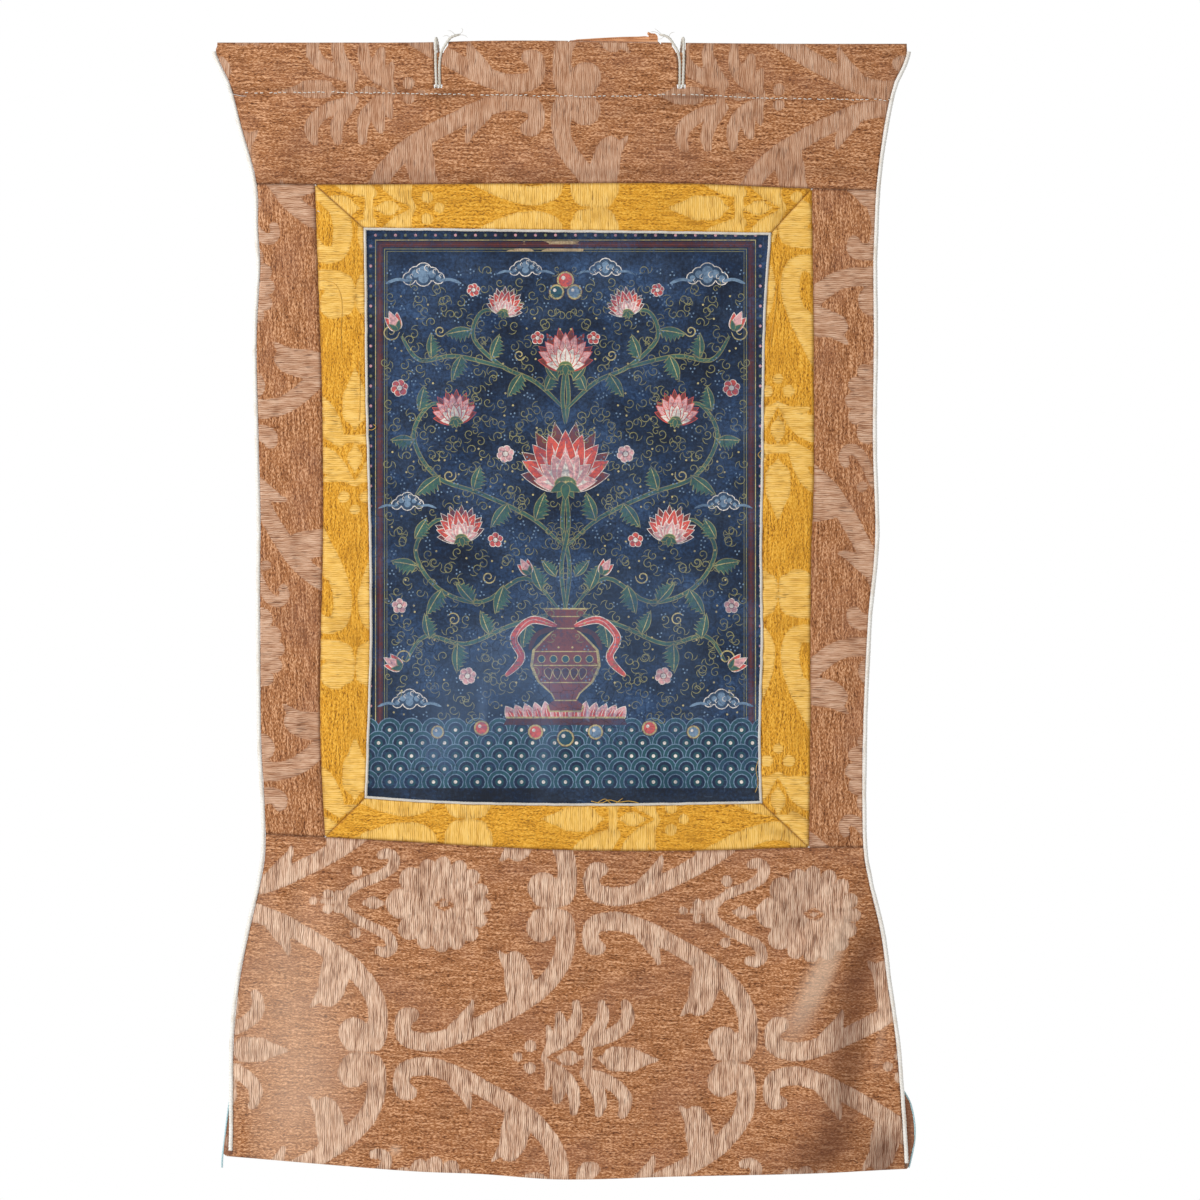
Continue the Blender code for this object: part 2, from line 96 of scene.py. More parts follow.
creaseRows = [  # the same for the small creases, which the solids leave out
    (128, -62, 62, 16, 3.2, 0.9), (112, -66, 118, 16, 3.0, -0.8), (-128, -60, 96, 18, 3.0, 0.8),
    (-139, -72, 82, 14, 3.4, -0.8), (-318, -26, 46, 18, 5, 0.9), (-332, -34, 60, 14, 4, -0.9),
    (326, -30, 60, 15, 4, 0.9), (316, -44, 74, 13, 4, -0.8), (-60, -134, 2, 90, 5, 1.1),
    (170, -138, -3, 90, 5, 1.0), (-220, -134, -1, 60, 5, 0.9), (-96, -96, 82, 26, 5, 0.6),
    (-281, -400, 6, 26, 3.6, 0.8), (-274, -421, 2, 28, 3.6, 0.8), (-270, -538, -3, 26, 4, 0.8),
    (-275, -729, 4, 26, 3.2, 1.0), (-272, -737, 0, 28, 3, -0.9), (285, -344, 4, 26, 3, 0.8),
    (282, -588, 18, 30, 4.5, 1.1), (288, -600, 22, 26, 4, -1.0), (280, -632, 24, 30, 5, 1.2),
    (288, -648, 20, 28, 4, -1.0), (282, -668, 16, 30, 4, 0.9), (280, -700, 14, 30, 4.5, 1.1),
    (284, -712, 10, 28, 3.6, -0.9), (-222, -408, 2, 22, 3, -0.7), (-226, -490, -3, 20, 3, -0.7),
    (224, -470, 4, 20, 3, -0.7), (226, -562, -4, 20, 3, 0.7), (222, -686, 6, 22, 3, -0.8),
    (-40, -170, 3, 70, 3.6, -0.7), (90, -178, -2, 80, 3.6, 0.7), (150, -786, 2, 70, 4, 0.9),
    (232, -776, -30, 26, 5, 1.4), (242, -788, -34, 24, 4, -1.2), (-170, -776, -3, 50, 4, 0.8),
    (-240, -846, 92, 26, 4, -0.8), (-276, -836, 84, 22, 4, 0.7), (200, -868, 68, 46, 8, 1.6),
    (222, -884, 66, 50, 8, -1.4), (278, -880, 70, 46, 7, 1.6), (300, -980, 74, 60, 10, 1.8),
    (268, -990, 72, 54, 9, -1.5), (238, -970, 66, 60, 10, 1.5), (318, -1040, 80, 36, 8, -1.4),
    (296, -1108, 40, 26, 7, 1.4), (322, -1118, 48, 22, 6, -1.4), (-318, -1104, 118, 22, 6, 1.2),
    (-300, -1116, 130, 18, 5, -1.0), (-180, -900, 60, 70, 12, 1.0), (-120, -1060, 28, 80, 12, 1.0),
    (20, -890, 84, 40, 9, 0.8), (120, -1000, 70, 60, 12, -0.9), (-60, -1118, 3, 110, 6, 0.8),
    (180, -1112, -2, 100, 6, 0.8), (-250, -960, 100, 60, 12, -1.0), (-10, -1030, 96, 50, 12, 0.8),
]


def linesThrough(rows):  # a smooth line through each column of a table, against its first column
    knots = np.array(sorted(rows), float)
    at = knots[:, 0]
    before = np.maximum(np.arange(len(at)) - 1, 0)
    after = np.minimum(np.arange(len(at)) + 1, len(at) - 1)

    def lineOf(value):
        slope = (value[after] - value[before]) / (at[after] - at[before])

        def line(where):
            where = np.clip(np.asarray(where, float), at[0], at[-1])
            i = np.clip(np.searchsorted(at, where, "right") - 1, 0, len(at) - 2)
            span = at[i + 1] - at[i]
            s = (where - at[i]) / span
            return ((1 + 2 * s) * (1 - s) ** 2 * value[i] + s * (1 - s) ** 2 * span * slope[i]
                    + s * s * (3 - 2 * s) * value[i + 1] + s * s * (s - 1) * span * slope[i + 1])
        return line
    return [lineOf(value) for value in knots.T[1:]]


def moved(line, by):
    return lambda where: line(where) + by


def fixed(value):
    return lambda where: np.zeros_like(np.asarray(where, float)) + value


def ease(t):
    t = np.clip(t, 0.0, 1.0)
    return t * t * (3 - 2 * t)


def blend(a, b, t):
    return a + (b - a) * t


def turnedBack(over, down, angle):  # the same step, measured along and across a line at an angle
    turn = math.radians(angle)
    return over * math.cos(turn) + down * math.sin(turn), down * math.cos(turn) - over * math.sin(turn)


def readTable(table, x, z, shape=lambda t: t):  # between the entries of a table that repeats
    i, j = np.floor(x).astype(int), np.floor(z).astype(int)
    s, t = shape(x - i), shape(z - j)
    wide, high = table.shape
    low, top = (blend(table[i % wide, k % high], table[(i + 1) % wide, k % high], s) for k in (j, j + 1))
    return blend(low, top, t)


def softNoise(seed, x, z):  # a smooth random surface between -1 and 1, one hill to a unit
    return readTable(np.random.default_rng(seed).uniform(-1, 1, (97, 89)), x, z, ease)


def ridges(rows, x, z):
    height = np.zeros(np.broadcast(x, z).shape)
    for spotX, spotZ, angle, length, width, lift in rows:
        along, off = turnedBack(x - spotX, z - spotZ, angle)
        height += lift * np.exp(-(along / length) ** 2 - (off / width) ** 2)
    return height


def relief(x, z):  # the main folds, as in the solids
    return -ridges(foldRows, x, z) * ease((cloth["stitchZ"] - 8 - z) / 30)


def fineRelief(x, z):  # small creases, and the cloth's own unevenness
    return -(ridges(creaseRows, x, z) + 0.30 * softNoise(3, x / 23, z / 19)
             + 0.16 * softNoise(4, x / 9, z / 8))


def surface(x, z):
    return relief(x, z) + fineRelief(x, z)


halfGap = cloth["gap"] / 2
sideLeft, sideRight = linesThrough(sideRows)
topEdge, headingSeam, footSeam, bottomEdge = linesThrough(acrossRows)
outerLeft, innerLeft, innerRight, outerRight = linesThrough(borderRows)
windowTop, windowBottom = linesThrough(windowRows)
hemLeft, hemRight = linesThrough(hemRows)
slitNear, slitFar = linesThrough(slitRows)
stitchLine = linesThrough([(-340, -52), (-230, -51.5), (-120, -53), (37, -55.5), (117, -53.5),
                           (200, -57), (340, -59)])[0]


def casingDepth(x, z):  # the front layer: forward over the lath, drawn in at the stitches
    start = stitchLine(x)
    lift = ease((z - start + 1) / (lath["bottom"] - start + 3))
    return cloth["frontY"] * lift + 0.7 * np.exp(-((z - start) / 2.4) ** 2)


def faceDepth(x, z):  # the front of the cloth anywhere, the casing included
    return casingDepth(x, z) * (z > -64) + surface(x, z)


# the damask's figure, in cloth millimetres: x along an axis of joints, y across it

figureSize = dict(across=185.0, down=150.0)   # one joint to the next, and one axis to the next


def strokeField(x, y, stroke):  # distance to a round brush stroke of (x, y, radius)
    best = np.full(np.broadcast(x, y).shape, 1e9)
    for (x0, y0, r0), (x1, y1, r1) in zip(stroke[:-1], stroke[1:]):
        dx, dy = x1 - x0, y1 - y0
        t = np.clip(((x - x0) * dx + (y - y0) * dy) / (dx * dx + dy * dy + 1e-9), 0, 1)
        best = np.minimum(best, np.hypot(x - x0 - t * dx, y - y0 - t * dy) - (r0 + (r1 - r0) * t))
    return best


def rounded(points, steps=4):  # a smooth curve through a stroke's points
    spots = np.array(points, float)
    last = len(spots) - 1
    made = []
    for i in range(last):
        a, b, c, d = (spots[min(max(i + k, 0), last)] for k in (-1, 0, 1, 2))
        for t in np.arange(steps) / steps:
            made.append(0.5 * (2 * b + (c - a) * t + (2 * a - 5 * b + 4 * c - d) * t * t
                               + (3 * b - a - 3 * c + d) * t ** 3))
    made.append(spots[-1])
    return [tuple(spot) for spot in made]


def dot(x, y, r):
    return [(x, y, r), (x + 0.1, y, r)]


scrollStrokes = [
    rounded([(20, 39, 7), (14, 37, 8.8), (10.8, 27, 8.3), (15, 16.5, 8.8), (30, 12.3, 9.3), (45, 13.4, 9.2),
             (60, 18, 9.2), (73, 23, 9), (91, 32, 8.6), (114, 44.6, 9), (137.8, 60, 9.3), (150, 71, 9.3),
             (161.5, 85, 9.3), (169, 100, 9.3), (171.5, 118, 9.6), (169, 132, 11.5)]),
    dot(147, 130, 15), [(146, 139.5, 9.5), (158, 140, 9.6), (168, 138, 10)],
    rounded([(64, 24, 8.5), (72, 35, 7), (78, 46, 4), (80, 54, 1.5)]),
    rounded([(129, 60, 14), (126.5, 74, 14.5), (123.5, 88, 13), (121, 95, 10)]),
    rounded([(118, 88, 7), (110, 98, 4), (104, 105, 1)]),
]
anchorStrokes = [
    dot(103, 0, 4), [(112, 0, 2.2), (134, 0, 4)], dot(117.5, 7.5, 4.8), dot(128, 6.5, 5),
    rounded([(133, 5, 4.5), (141, 13, 4.5), (152, 19.5, 4.8), (164, 25, 5), (175, 30.5, 5.3),
             (182, 37.5, 5.5), (183, 45, 5.5), (177, 49.5, 5), (170, 48, 4.5)]),
    dot(146, 31, 5.4), [(154, 0, 2), (163, 0, 6.5), (173, 0, 2)],
]
palmetteStrokes = [
    dot(126.5, 0, 5), dot(139, 11, 5.8), [(197, -20, 4.3), (197, 20, 4.3)],
    rounded([(152, 0, 2.5), (159, 11, 4.6), (158, 22, 4), (156.5, 30, 2.4)]),
    rounded([(158, 6, 3.5), (167, 16, 6.6), (169.5, 29, 7), (167, 42, 4.4)]),
    rounded([(168, 14, 6), (179, 25, 7), (184.5, 39, 6), (184, 54, 4)]),
    rounded([(194, 15, 5), (201, 23, 6.6), (208, 34, 6.6), (211, 46, 6), (209, 55, 4)]),
    rounded([(196, 14, 4), (212, 20.5, 6.6), (226, 28, 7), (235, 39, 7), (235, 50, 5.6), (232, 56, 4)]),
    [(165, 0, 1), (176, 0, 7), (180, 0, 7), (191, 0, 1)],
    [(207, 0, 1), (224, 0, 12.5), (240, 0, 12), (267, 0, 1)],
]
daisy = dict(x=230.0, disc=22.0, petals=[  # angle, inner reach, outer reach, half width
    (180, 20, 54, 15), (140, 20, 50, 12), (110, 22, 47, 8.6), (87, 22, 48, 7.8), (64, 22, 49, 7.7),
    (42, 22, 50, 7.6), (20, 22, 50, 7.3), (0, 22, 51, 6.6)])


def strokesField(x, y, strokes):
    return np.minimum.reduce([strokeField(x, y, stroke) for stroke in strokes])


def daisyAndAnchor(x, y):
    middle = daisy["x"]
    petals = []
    for angle, inner, outer, half in daisy["petals"]:
        turn = math.radians(angle)
        petals.append([(middle + reach * math.cos(turn), reach * math.sin(turn), wide)
                       for reach, wide in ((inner, half * 0.6), (outer - half, half))])
    field = np.minimum(np.hypot(x - middle, y) - daisy["disc"], strokesField(x, y, petals))
    eyeX = x - middle - 4
    field = np.maximum(field, 4 - 4 * ((np.abs(eyeX) / 10.5) ** 1.3 + (y / 6.6) ** 1.3))
    field = np.minimum(field, np.hypot(eyeX / 1.5, y) - 2.6)
    return np.minimum(field, strokesField(x, y, anchorStrokes))


def damaskFigure(x, y):  # scrolls turn over from cell to cell, flowers sit on alternate axes
    width, height = figureSize["across"], figureSize["down"]
    band, cell = np.floor(y / height), np.floor(x / width)
    up, over = y - band * height, x - cell * width
    upright = (cell + band) % 2 == 0
    fields = []
    for stepX in (-1, 0, 1):
        turned = upright if stepX == 0 else ~upright
        for reach in (up, -up, 2 * height - up):   # this band and its mirror images
            fields.append(strokesField(over - stepX * width, np.where(turned, reach, height - reach),
                                       scrollStrokes))
    for axis in (band, band + 1):
        off = np.abs(y - axis * height)
        even = axis % 2 == 0
        along = np.mod(x - np.where(even, 0, width), 2 * width)
        fields.append(np.where(even, daisyAndAnchor(along, off), strokesField(along, off, palmetteStrokes)))
    return np.minimum.reduce(fields)


gridX, gridY = np.mgrid[0:2 * figureSize["across"], 0:2 * figureSize["down"]]
figureTile = damaskFigure(gridX, gridY)   # one repeat of the figure


def figureAt(x, y):
    return readTable(figureTile, x, y)


print("figure ready")


def addThing(name, data):
    thing = bpy.data.objects.new(name, data)
    bpy.context.scene.collection.objects.link(thing)
    return thing


def addPiece(name, mesh, slot, replaced, *materials):
    piece = addThing(name, mesh)
    for material in materials:
        mesh.materials.append(material)
    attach(piece, "root")
    if replaced:
        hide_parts(*replaced)
    return piece


def meshFrom(name, spots, faces, smooth=True):  # spots are rows of x, depth, z in millimetres
    mesh = bpy.data.meshes.new(name)
    mesh.from_pydata((np.asarray(spots) / 1000).tolist(), [], faces)
    if smooth:
        mesh.shade_smooth()
    return mesh


def paintFacts(mesh, facts):  # what a material reads at each corner of the mesh
    for name, values in facts.items():
        layer = mesh.attributes.new(name, "FLOAT", "POINT")
        layer.data.foreach_set("value", np.asarray(values, np.float32).ravel())


def layWeave(mesh, u, v):  # the direction of the threads, in millimetres of flat cloth
    corners = np.empty(len(mesh.loops), int)
    mesh.loops.foreach_get("vertex_index", corners)
    layer = mesh.uv_layers.new(name="weave")
    pairs = np.stack([u.ravel()[corners], v.ravel()[corners]], axis=1)
    layer.data.foreach_set("uv", pairs.astype(np.float32).ravel())


def markBack(mesh, start, end):  # these faces take the second material
    turned = np.zeros(len(mesh.polygons), np.int32)
    turned[start:end] = 1
    mesh.polygons.foreach_set("material_index", turned)
    mesh.update()


def clothMesh(name, spots, u, v, facts, kept=None):  # spots: rows of (x, depth, z), going up
    rows, columns = spots.shape[:2]
    kept = np.ones((rows - 1, columns - 1), bool) if kept is None else kept
    normal = np.cross(np.gradient(spots, axis=1), np.gradient(spots, axis=0))
    normal /= np.linalg.norm(normal, axis=2, keepdims=True) + 1e-9
    face, back = spots + normal * cloth["thick"] / 2, spots - normal * cloth["thick"] / 2
    count = rows * columns
    number = np.arange(count).reshape(rows, columns)
    corner = dict(a=number[:-1, :-1], b=number[:-1, 1:], c=number[1:, 1:], d=number[1:, :-1])
    a, b, c, d = (corner[place][kept] for place in "abcd")
    faces = [np.stack([a, b, c, d], 1), np.stack([d, c, b, a], 1) + count]
    present = np.pad(kept, 1)
    for rowStep, columnStep, first, second in ((-1, 0, "a", "b"), (0, 1, "b", "c"),
                                               (1, 0, "c", "d"), (0, -1, "d", "a")):
        free = kept & ~present[1 + rowStep:rows + rowStep, 1 + columnStep:columns + columnStep]
        p, q = corner[first][free], corner[second][free]
        faces.append(np.stack([q, p, p + count, q + count], 1))
    faces = np.concatenate(faces)
    used = np.zeros(2 * count, bool)
    used[faces.ravel()] = True
    renumber = np.cumsum(used) - 1
    every = np.concatenate([face.reshape(-1, 3), back.reshape(-1, 3)])[used]
    mesh = meshFrom(name, every, renumber[faces].tolist())
    double = lambda values: np.concatenate([values.ravel(), values.ravel()])[used]
    layWeave(mesh, double(u), double(v))
    paintFacts(mesh, {fact: double(values) for fact, values in facts.items()})
    markBack(mesh, len(a), 2 * len(a))
    return mesh


def runAlong(spots):  # the length of a route up to each of its points
    return np.concatenate([[0], np.cumsum(np.linalg.norm(np.diff(spots, axis=0), axis=1))])


# a cord along a route; ply deepens the groove between its strands, which turn once in each twist
def tubeMesh(route, radius, sides=10, twist=0.0, ply=0.0, taper=0):
    spots = np.asarray(route, float)
    count = len(spots)
    ahead = np.gradient(spots, axis=0)
    ahead /= np.linalg.norm(ahead, axis=1, keepdims=True)
    run = runAlong(spots)
    side = np.cross(ahead, np.array([0.03, 0.9, 0.2]))
    side[np.linalg.norm(side, axis=1) < 0.05] = (1, 0, 0)
    side /= np.linalg.norm(side, axis=1, keepdims=True)
    up = np.cross(side, ahead)
    turn = np.arange(sides) * 2 * math.pi / sides
    phase = run * (2 * math.pi / twist) if twist else run * 0
    lobes = 1 - ply * (1 - np.abs(np.cos(turn[None, :] - phase[:, None])))
    thin = np.ones(count)
    if taper:
        thin[-taper:] = np.linspace(1, 0.25, taper)
    reach = radius * lobes * thin[:, None]
    ring = (spots[:, None, :] + reach[..., None] * (np.cos(turn)[None, :, None] * side[:, None, :]
                                                    + np.sin(turn)[None, :, None] * up[:, None, :]))
    faces = []
    for start in range(0, (count - 1) * sides, sides):
        for k in range(sides):
            m = (k + 1) % sides
            faces.append((start + k, start + m, start + sides + m, start + sides + k))
    faces.append(tuple(reversed(range(sides))))
    faces.append(tuple(range((count - 1) * sides, count * sides)))
    return ring.reshape(-1, 3), faces, np.repeat(run, sides), np.tile(turn, count)


def addCords(name, tubes, replaced, finish, slot="white_cord"):
    faces, start = [], 0
    for flat, ringFaces, run, turn in tubes:
        faces += [tuple(i + start for i in face) for face in ringFaces]
        start += len(flat)
    spots, along, around = (np.concatenate([tube[k] for tube in tubes]) for k in (0, 2, 3))
    mesh = meshFrom(name, spots, faces)
    layWeave(mesh, along, around)
    addPiece(name, mesh, slot, replaced, finish)


def smoothRoute(points, step):  # even steps on a smooth curve through given points
    fine = np.array(rounded(points, 12))
    run = runAlong(fine)
    count = max(3, int(round(run[-1] / step)) + 1)
    even = np.linspace(0, run[-1], count)
    return np.stack([np.interp(even, run, fine[:, k]) for k in range(3)], axis=1)


# x and z of a grid; the lines are upright, given by z, and low and high run across, given by x
def gridBetween(lines, shares, low, high, steps):
    part = np.minimum(np.floor(shares).astype(int), len(lines) - 2)
    into = shares - part
    x = np.zeros((len(steps), len(shares)))
    z = np.zeros_like(x) - 500
    for _ in range(10):
        every = np.stack([line(z) for line in lines])
        near = np.take_along_axis(every, np.broadcast_to(part, z.shape)[None], 0)[0]
        far = np.take_along_axis(every, np.broadcast_to(part + 1, z.shape)[None], 0)[0]
        x = near + (far - near) * into
        z = blend(low(x), high(x), steps[:, None])
    return x, z


def seamDip(*distances, deep=1.3, wide=3.2):  # cloth rolls back into the seams at its edges
    nearest = np.minimum.reduce(distances)
    return deep * (1 - ease(nearest / wide)) ** 1.5


def plug(tree, place, value):
    if isinstance(value, Wire):
        tree.links.new(value.socket, place)
    else:
        place.default_value = value


class Wire:  # a node's output; the operators add Math nodes
    def __init__(self, tree, socket):
        self.tree = tree
        self.socket = socket

    def maths(self, operation, *values):
        made = self.tree.nodes.new("ShaderNodeMath")
        made.operation = operation
        for place, value in zip(made.inputs, values):
            plug(self.tree, place, value)
        return Wire(self.tree, made.outputs[0])

    def __add__(self, other):
        return self.maths("ADD", self, other)

    def __sub__(self, other):
        return self.maths("SUBTRACT", self, other)

    def __rsub__(self, other):
        return self.maths("SUBTRACT", other, self)

    def __mul__(self, other):
        return self.maths("MULTIPLY", self, other)

    def __truediv__(self, other):
        return self.maths("DIVIDE", self, other)

    def __abs__(self):
        return self.maths("ABSOLUTE", self)

    __radd__ = __add__
    __rmul__ = __mul__

    def sine(self):
        return self.maths("SINE", self)

    def most(self, other):
        return self.maths("MAXIMUM", self, other)


def tint(*seen):  # a colour as seen on screen, turned into the shader's own scale
    shares = [value / 255 for value in seen]
    return tuple(round(c / 12.92 if c <= 0.04045 else ((c + 0.055) / 1.055) ** 2.4, 5)
                 for c in shares) + (1.0,)


def setStops(elements, stops):  # the colours of a ramp
    while len(elements) < len(stops):
        elements.new(0.5)
    for element, (at, colour) in zip(elements, stops):
        element.position = at
        element.color = colour


class Finish:  # a material being made
    def __init__(self, name, roughness):
        self.material = bpy.data.materials.new(name)
        self.material.use_nodes = True
        self.tree = self.material.node_tree
        self.shader = self.tree.nodes["Principled BSDF"]
        self.paint({"Roughness": roughness})

    def paint(self, sockets):
        for name, value in sockets.items():
            plug(self.tree, self.shader.inputs[name], value)

    def node(self, kind, settings=None, sockets=None, out=0):
        made = self.tree.nodes.new("ShaderNode" + kind)
        for name, value in (settings or {}).items():
            if name == "stops":
                setStops(made.color_ramp.elements, value)
            else:
                setattr(made, name, value)
        for name, value in (sockets or {}).items():
            plug(self.tree, made.inputs[name], value)
        return Wire(self.tree, made.outputs[out])

    def parts(self, where):  # x, y and z of a vector
        return [self.node("SeparateXYZ", {}, dict(Vector=where), k) for k in range(3)]

    def weave(self):  # u and v of the threads, in millimetres
        return self.parts(self.node("UVMap", dict(uv_map="weave")))[:2]

    def fact(self, name, out="Fac"):
        return self.node("Attribute", dict(attribute_name=name), {}, out)

    def place(self, x, y, z=0.0):
        return self.node("CombineXYZ", {}, dict(X=x, Y=y, Z=z))

    def noise(self, u, v, stretchU, stretchV, detail=2.0, rough=0.5, shift=0.0):
        return self.node("TexNoise", {}, dict(Vector=self.place(u / stretchU, v / stretchV, shift),
                                              Scale=1.0, Detail=detail, Roughness=rough), "Fac")

    def step(self, value, low, high):  # 0 below low, 1 above high, eased between
        return self.node("MapRange", dict(interpolation_type="SMOOTHSTEP"),
                         {"Value": value, "From Min": low, "From Max": high})

    def ramp(self, share, *stops):
        return self.node("ValToRGB", dict(stops=stops), dict(Fac=share))

    def over(self, low, *layers):  # each layer is a colour and how much of it there is
        for high, share in layers:
            low = self.node("Mix", dict(data_type="RGBA"), {0: share, 6: low, 7: high}, 2)
        return low

    def bump(self, height, distance, strength=1.0):
        normal = self.node("Bump", {}, dict(Height=height, Distance=distance, Strength=strength))
        self.paint({"Normal": normal})


brown = dict(
    name="brownDamask", ribs=1.9, warm=tint(166, 107, 62), pale=tint(200, 158, 130), dark=tint(84, 40, 12),
    light=tint(230, 176, 134), mauve=tint(146, 100, 82), rib=tint(112, 70, 44), shine=tint(246, 216, 190),
    stain=tint(100, 62, 42), dull=tint(174, 118, 78))
gold = dict(
    name="goldDamask", ribs=2.0, warm=tint(218, 152, 34), pale=tint(242, 192, 92), dark=tint(122, 76, 10),
    light=tint(248, 192, 76), mauve=tint(208, 148, 42), rib=tint(190, 138, 56), shine=tint(255, 218, 136),
    stain=tint(164, 110, 26), dull=tint(228, 172, 66))


def damaskFinish(look, reverse=False):
    made = Finish(look["name"] + ("Back" if reverse else ""), 0.62)
    u, v = made.weave()
    figure, tone, edge, fresh = (made.fact(name) for name in ("figure", "tone", "edge", "fresh"))
    drift = made.noise(u, v, 17, 11, 2.0)                    # the cloth has pulled a little out of true
    waveU = u + (drift - 0.5) * 2.6
    waveV = v + (made.noise(u, v, 8, 12, 2.0, shift=4.0) - 0.5) * 5.0
    teeth = made.noise(u, v, 1.4, 9, 1.0, shift=2.0)         # the figure ends thread by thread
    ragged = figure + (teeth - 0.5) * 3.0 + (drift - 0.5) * 2.0
    inside = made.step(ragged, 0.8, -0.8)
    if reverse:
        inside = 1 - inside
    # figure: long pale floats lying along v, in ribs and looser bundles
    ribs = (waveU * (2 * math.pi / look["ribs"])).sine() * 0.5 + 0.5
    strands = made.noise(waveU, v, 1.25, 15, 2.5, 0.6, shift=7.0)
    bundles = made.noise(waveU, v, 6.0, 50, 2.0, shift=11.0)
    floats = ribs * 0.20 + strands * 1.05 + bundles * 0.50
    # ground: short slubs lying along u, in wavering rows
    slubs = made.noise(u, waveV, 3.2, 1.2, 2.5, 0.62, shift=17.0)
    rows = made.noise(u, waveV, 24, 2.1, 2.0, shift=23.0)
    # large patches of fading and dirt
    faded = made.step(made.noise(u, v, 70, 46, 3.0, 0.55, shift=31.0), 0.42, 0.68)
    blots = made.noise(u, v, 24, 20, 3.0, 0.6, shift=37.0)
    soiled = made.step(blots, 0.50, 0.74)
    dark, warm = look["dark"], look["warm"]
    groundColour = made.ramp(made.step(slubs * 0.78 + rows * 0.46, 0.42, 0.80),
                             (0.0, dark), (0.42, warm), (0.56, warm), (1.0, look["light"]))
    groundColour = made.over(groundColour, (look["mauve"], faded * 0.26))
    figureColour = made.ramp(made.step(floats, 0.58, 1.18),
                             (0.0, look["rib"]), (0.42, look["pale"]), (1.0, look["shine"]))
    figureColour = made.over(figureColour, (look["dull"], (1 - fresh) * 0.60 + faded * 0.12))
    # pulled and broken floats, dark where the ground is seen between them
    gashes = made.noise(waveU, v, 1.7, 20, 1.5, shift=41.0)
    loose = made.step(gashes, 0.62, 0.71) * made.step(blots, 0.40, 0.58) * inside
    rim = made.step(abs(ragged + 0.6), 1.6, 0.2) * made.step(teeth, 0.46, 0.62)
    flecks = made.step(made.noise(u, waveV, 3.2, 1.2, 1.5, shift=47.0), 0.63, 0.74) * (1 - inside)
    # darker within a few millimetres of each seam
    darkNearSeams = made.step(edge + (drift - 0.5) * 3, 3.6, 0.2)
    # the dark and shine layers driven by the mesh's light-and-marks fact are painted shade and painted
    # highlight of folds, creases and seams, with a few marks
    colour = made.over(
        groundColour, (figureColour, inside), (look["stain"], soiled * 0.26),
        (dark, (loose * 0.6).most(rim * 0.34)), (dark, flecks * 0.55),
        (dark, made.step(tone, 0.0, -1.0) * 0.66), (look["shine"], made.step(tone, 0.0, 1.0) * 0.5),
        (dark, darkNearSeams * 0.34))
    if reverse:
        colour = made.over(colour, (look["mauve"], 0.45))
    height = (inside * (floats * 0.9 + 0.15) + (1 - inside) * (slubs * 1.1 + rows * 0.7)
              - loose * 0.8 - flecks * 0.5)
    made.bump(height, 0.0006, 0.9)
    made.paint({"Base Color": colour, "Roughness": 0.78 - inside * 0.16 + soiled * 0.06,
                "Sheen Weight": 0.10, "Sheen Roughness": 0.45, "Specular IOR Level": 0.32})
    return made.material


brownFace, brownBack = damaskFinish(brown), damaskFinish(brown, True)
goldFace, goldBack = damaskFinish(gold), damaskFinish(gold, True)


def threadFinish(name, pale, shade, spot, pitch=1.5):  # twisted plies of thread, with painted shade in the grooves between them
    made = Finish(name, 0.86)
    along, around = made.weave()
    strands = (along * (2 * math.pi / pitch) + around).sine() * 0.5 + 0.5
    fuzz = made.noise(along, around, 0.7, 0.5, 3.0, 0.6)
    grime = made.step(made.noise(along, around, 16, 3.0, 3.0, 0.6, shift=5.0), 0.46, 0.72)
    colour = made.over(tint(*shade), (tint(*pale), made.step(strands * 0.5 + fuzz * 0.7, 0.3, 0.9)),
                       (tint(*spot), grime * 0.45))
    made.bump(strands * 0.7 + fuzz * 0.6, 0.0003)
    made.paint({"Base Color": colour, "Sheen Weight": 0.15})
    return made.material


whiteCord = threadFinish("whiteCord", (252, 250, 246), (226, 222, 214), (208, 190, 166))
pipingCord = threadFinish("pipingCord", (240, 236, 228), (190, 184, 174), (176, 164, 150), 1.2)
tieCord = threadFinish("tieCord", (240, 236, 226), (186, 180, 168), (186, 170, 144), 1.3)
blueThread = threadFinish("blueThread", (214, 236, 240), (126, 178, 190), (150, 170, 160))
yellowThread = threadFinish("yellowThread", (244, 206, 96), (206, 150, 44), (190, 140, 50))


heading = dict(pitch=2.6, figureX=172.0, figureY=200.0, tuck=7.0, tilt=1.0, middle=(-3.0, -99.0))
strips = dict(pitch=2.4, columns=28)
border = dict(shortWay=21, wideWay=22, across=205, upright=270)
foot = dict(pitch=2.9, joint=(17.0, -867.0), tilt=1.5)
almostAll = 1 - 1e-6   # the last share of a grid, kept inside its last part


def addCloth(name, node, spots, weave, facts, gold=False, kept=None):
    finishes = (goldFace, goldBack) if gold else (brownFace, brownBack)
    mesh = clothMesh(name, spots, *weave, facts, kept)
    return addPiece(name, mesh, "gold_damask" if gold else "brown_damask", [node], *finishes)


def lightAndMarksFrom(rows, x, z):  # lighter (above 0) and darker (below 0) places: painted highlight and painted shade on folds, creases and seams, with a few marks
    return np.clip(ridges(rows, x, z), -1, 1)
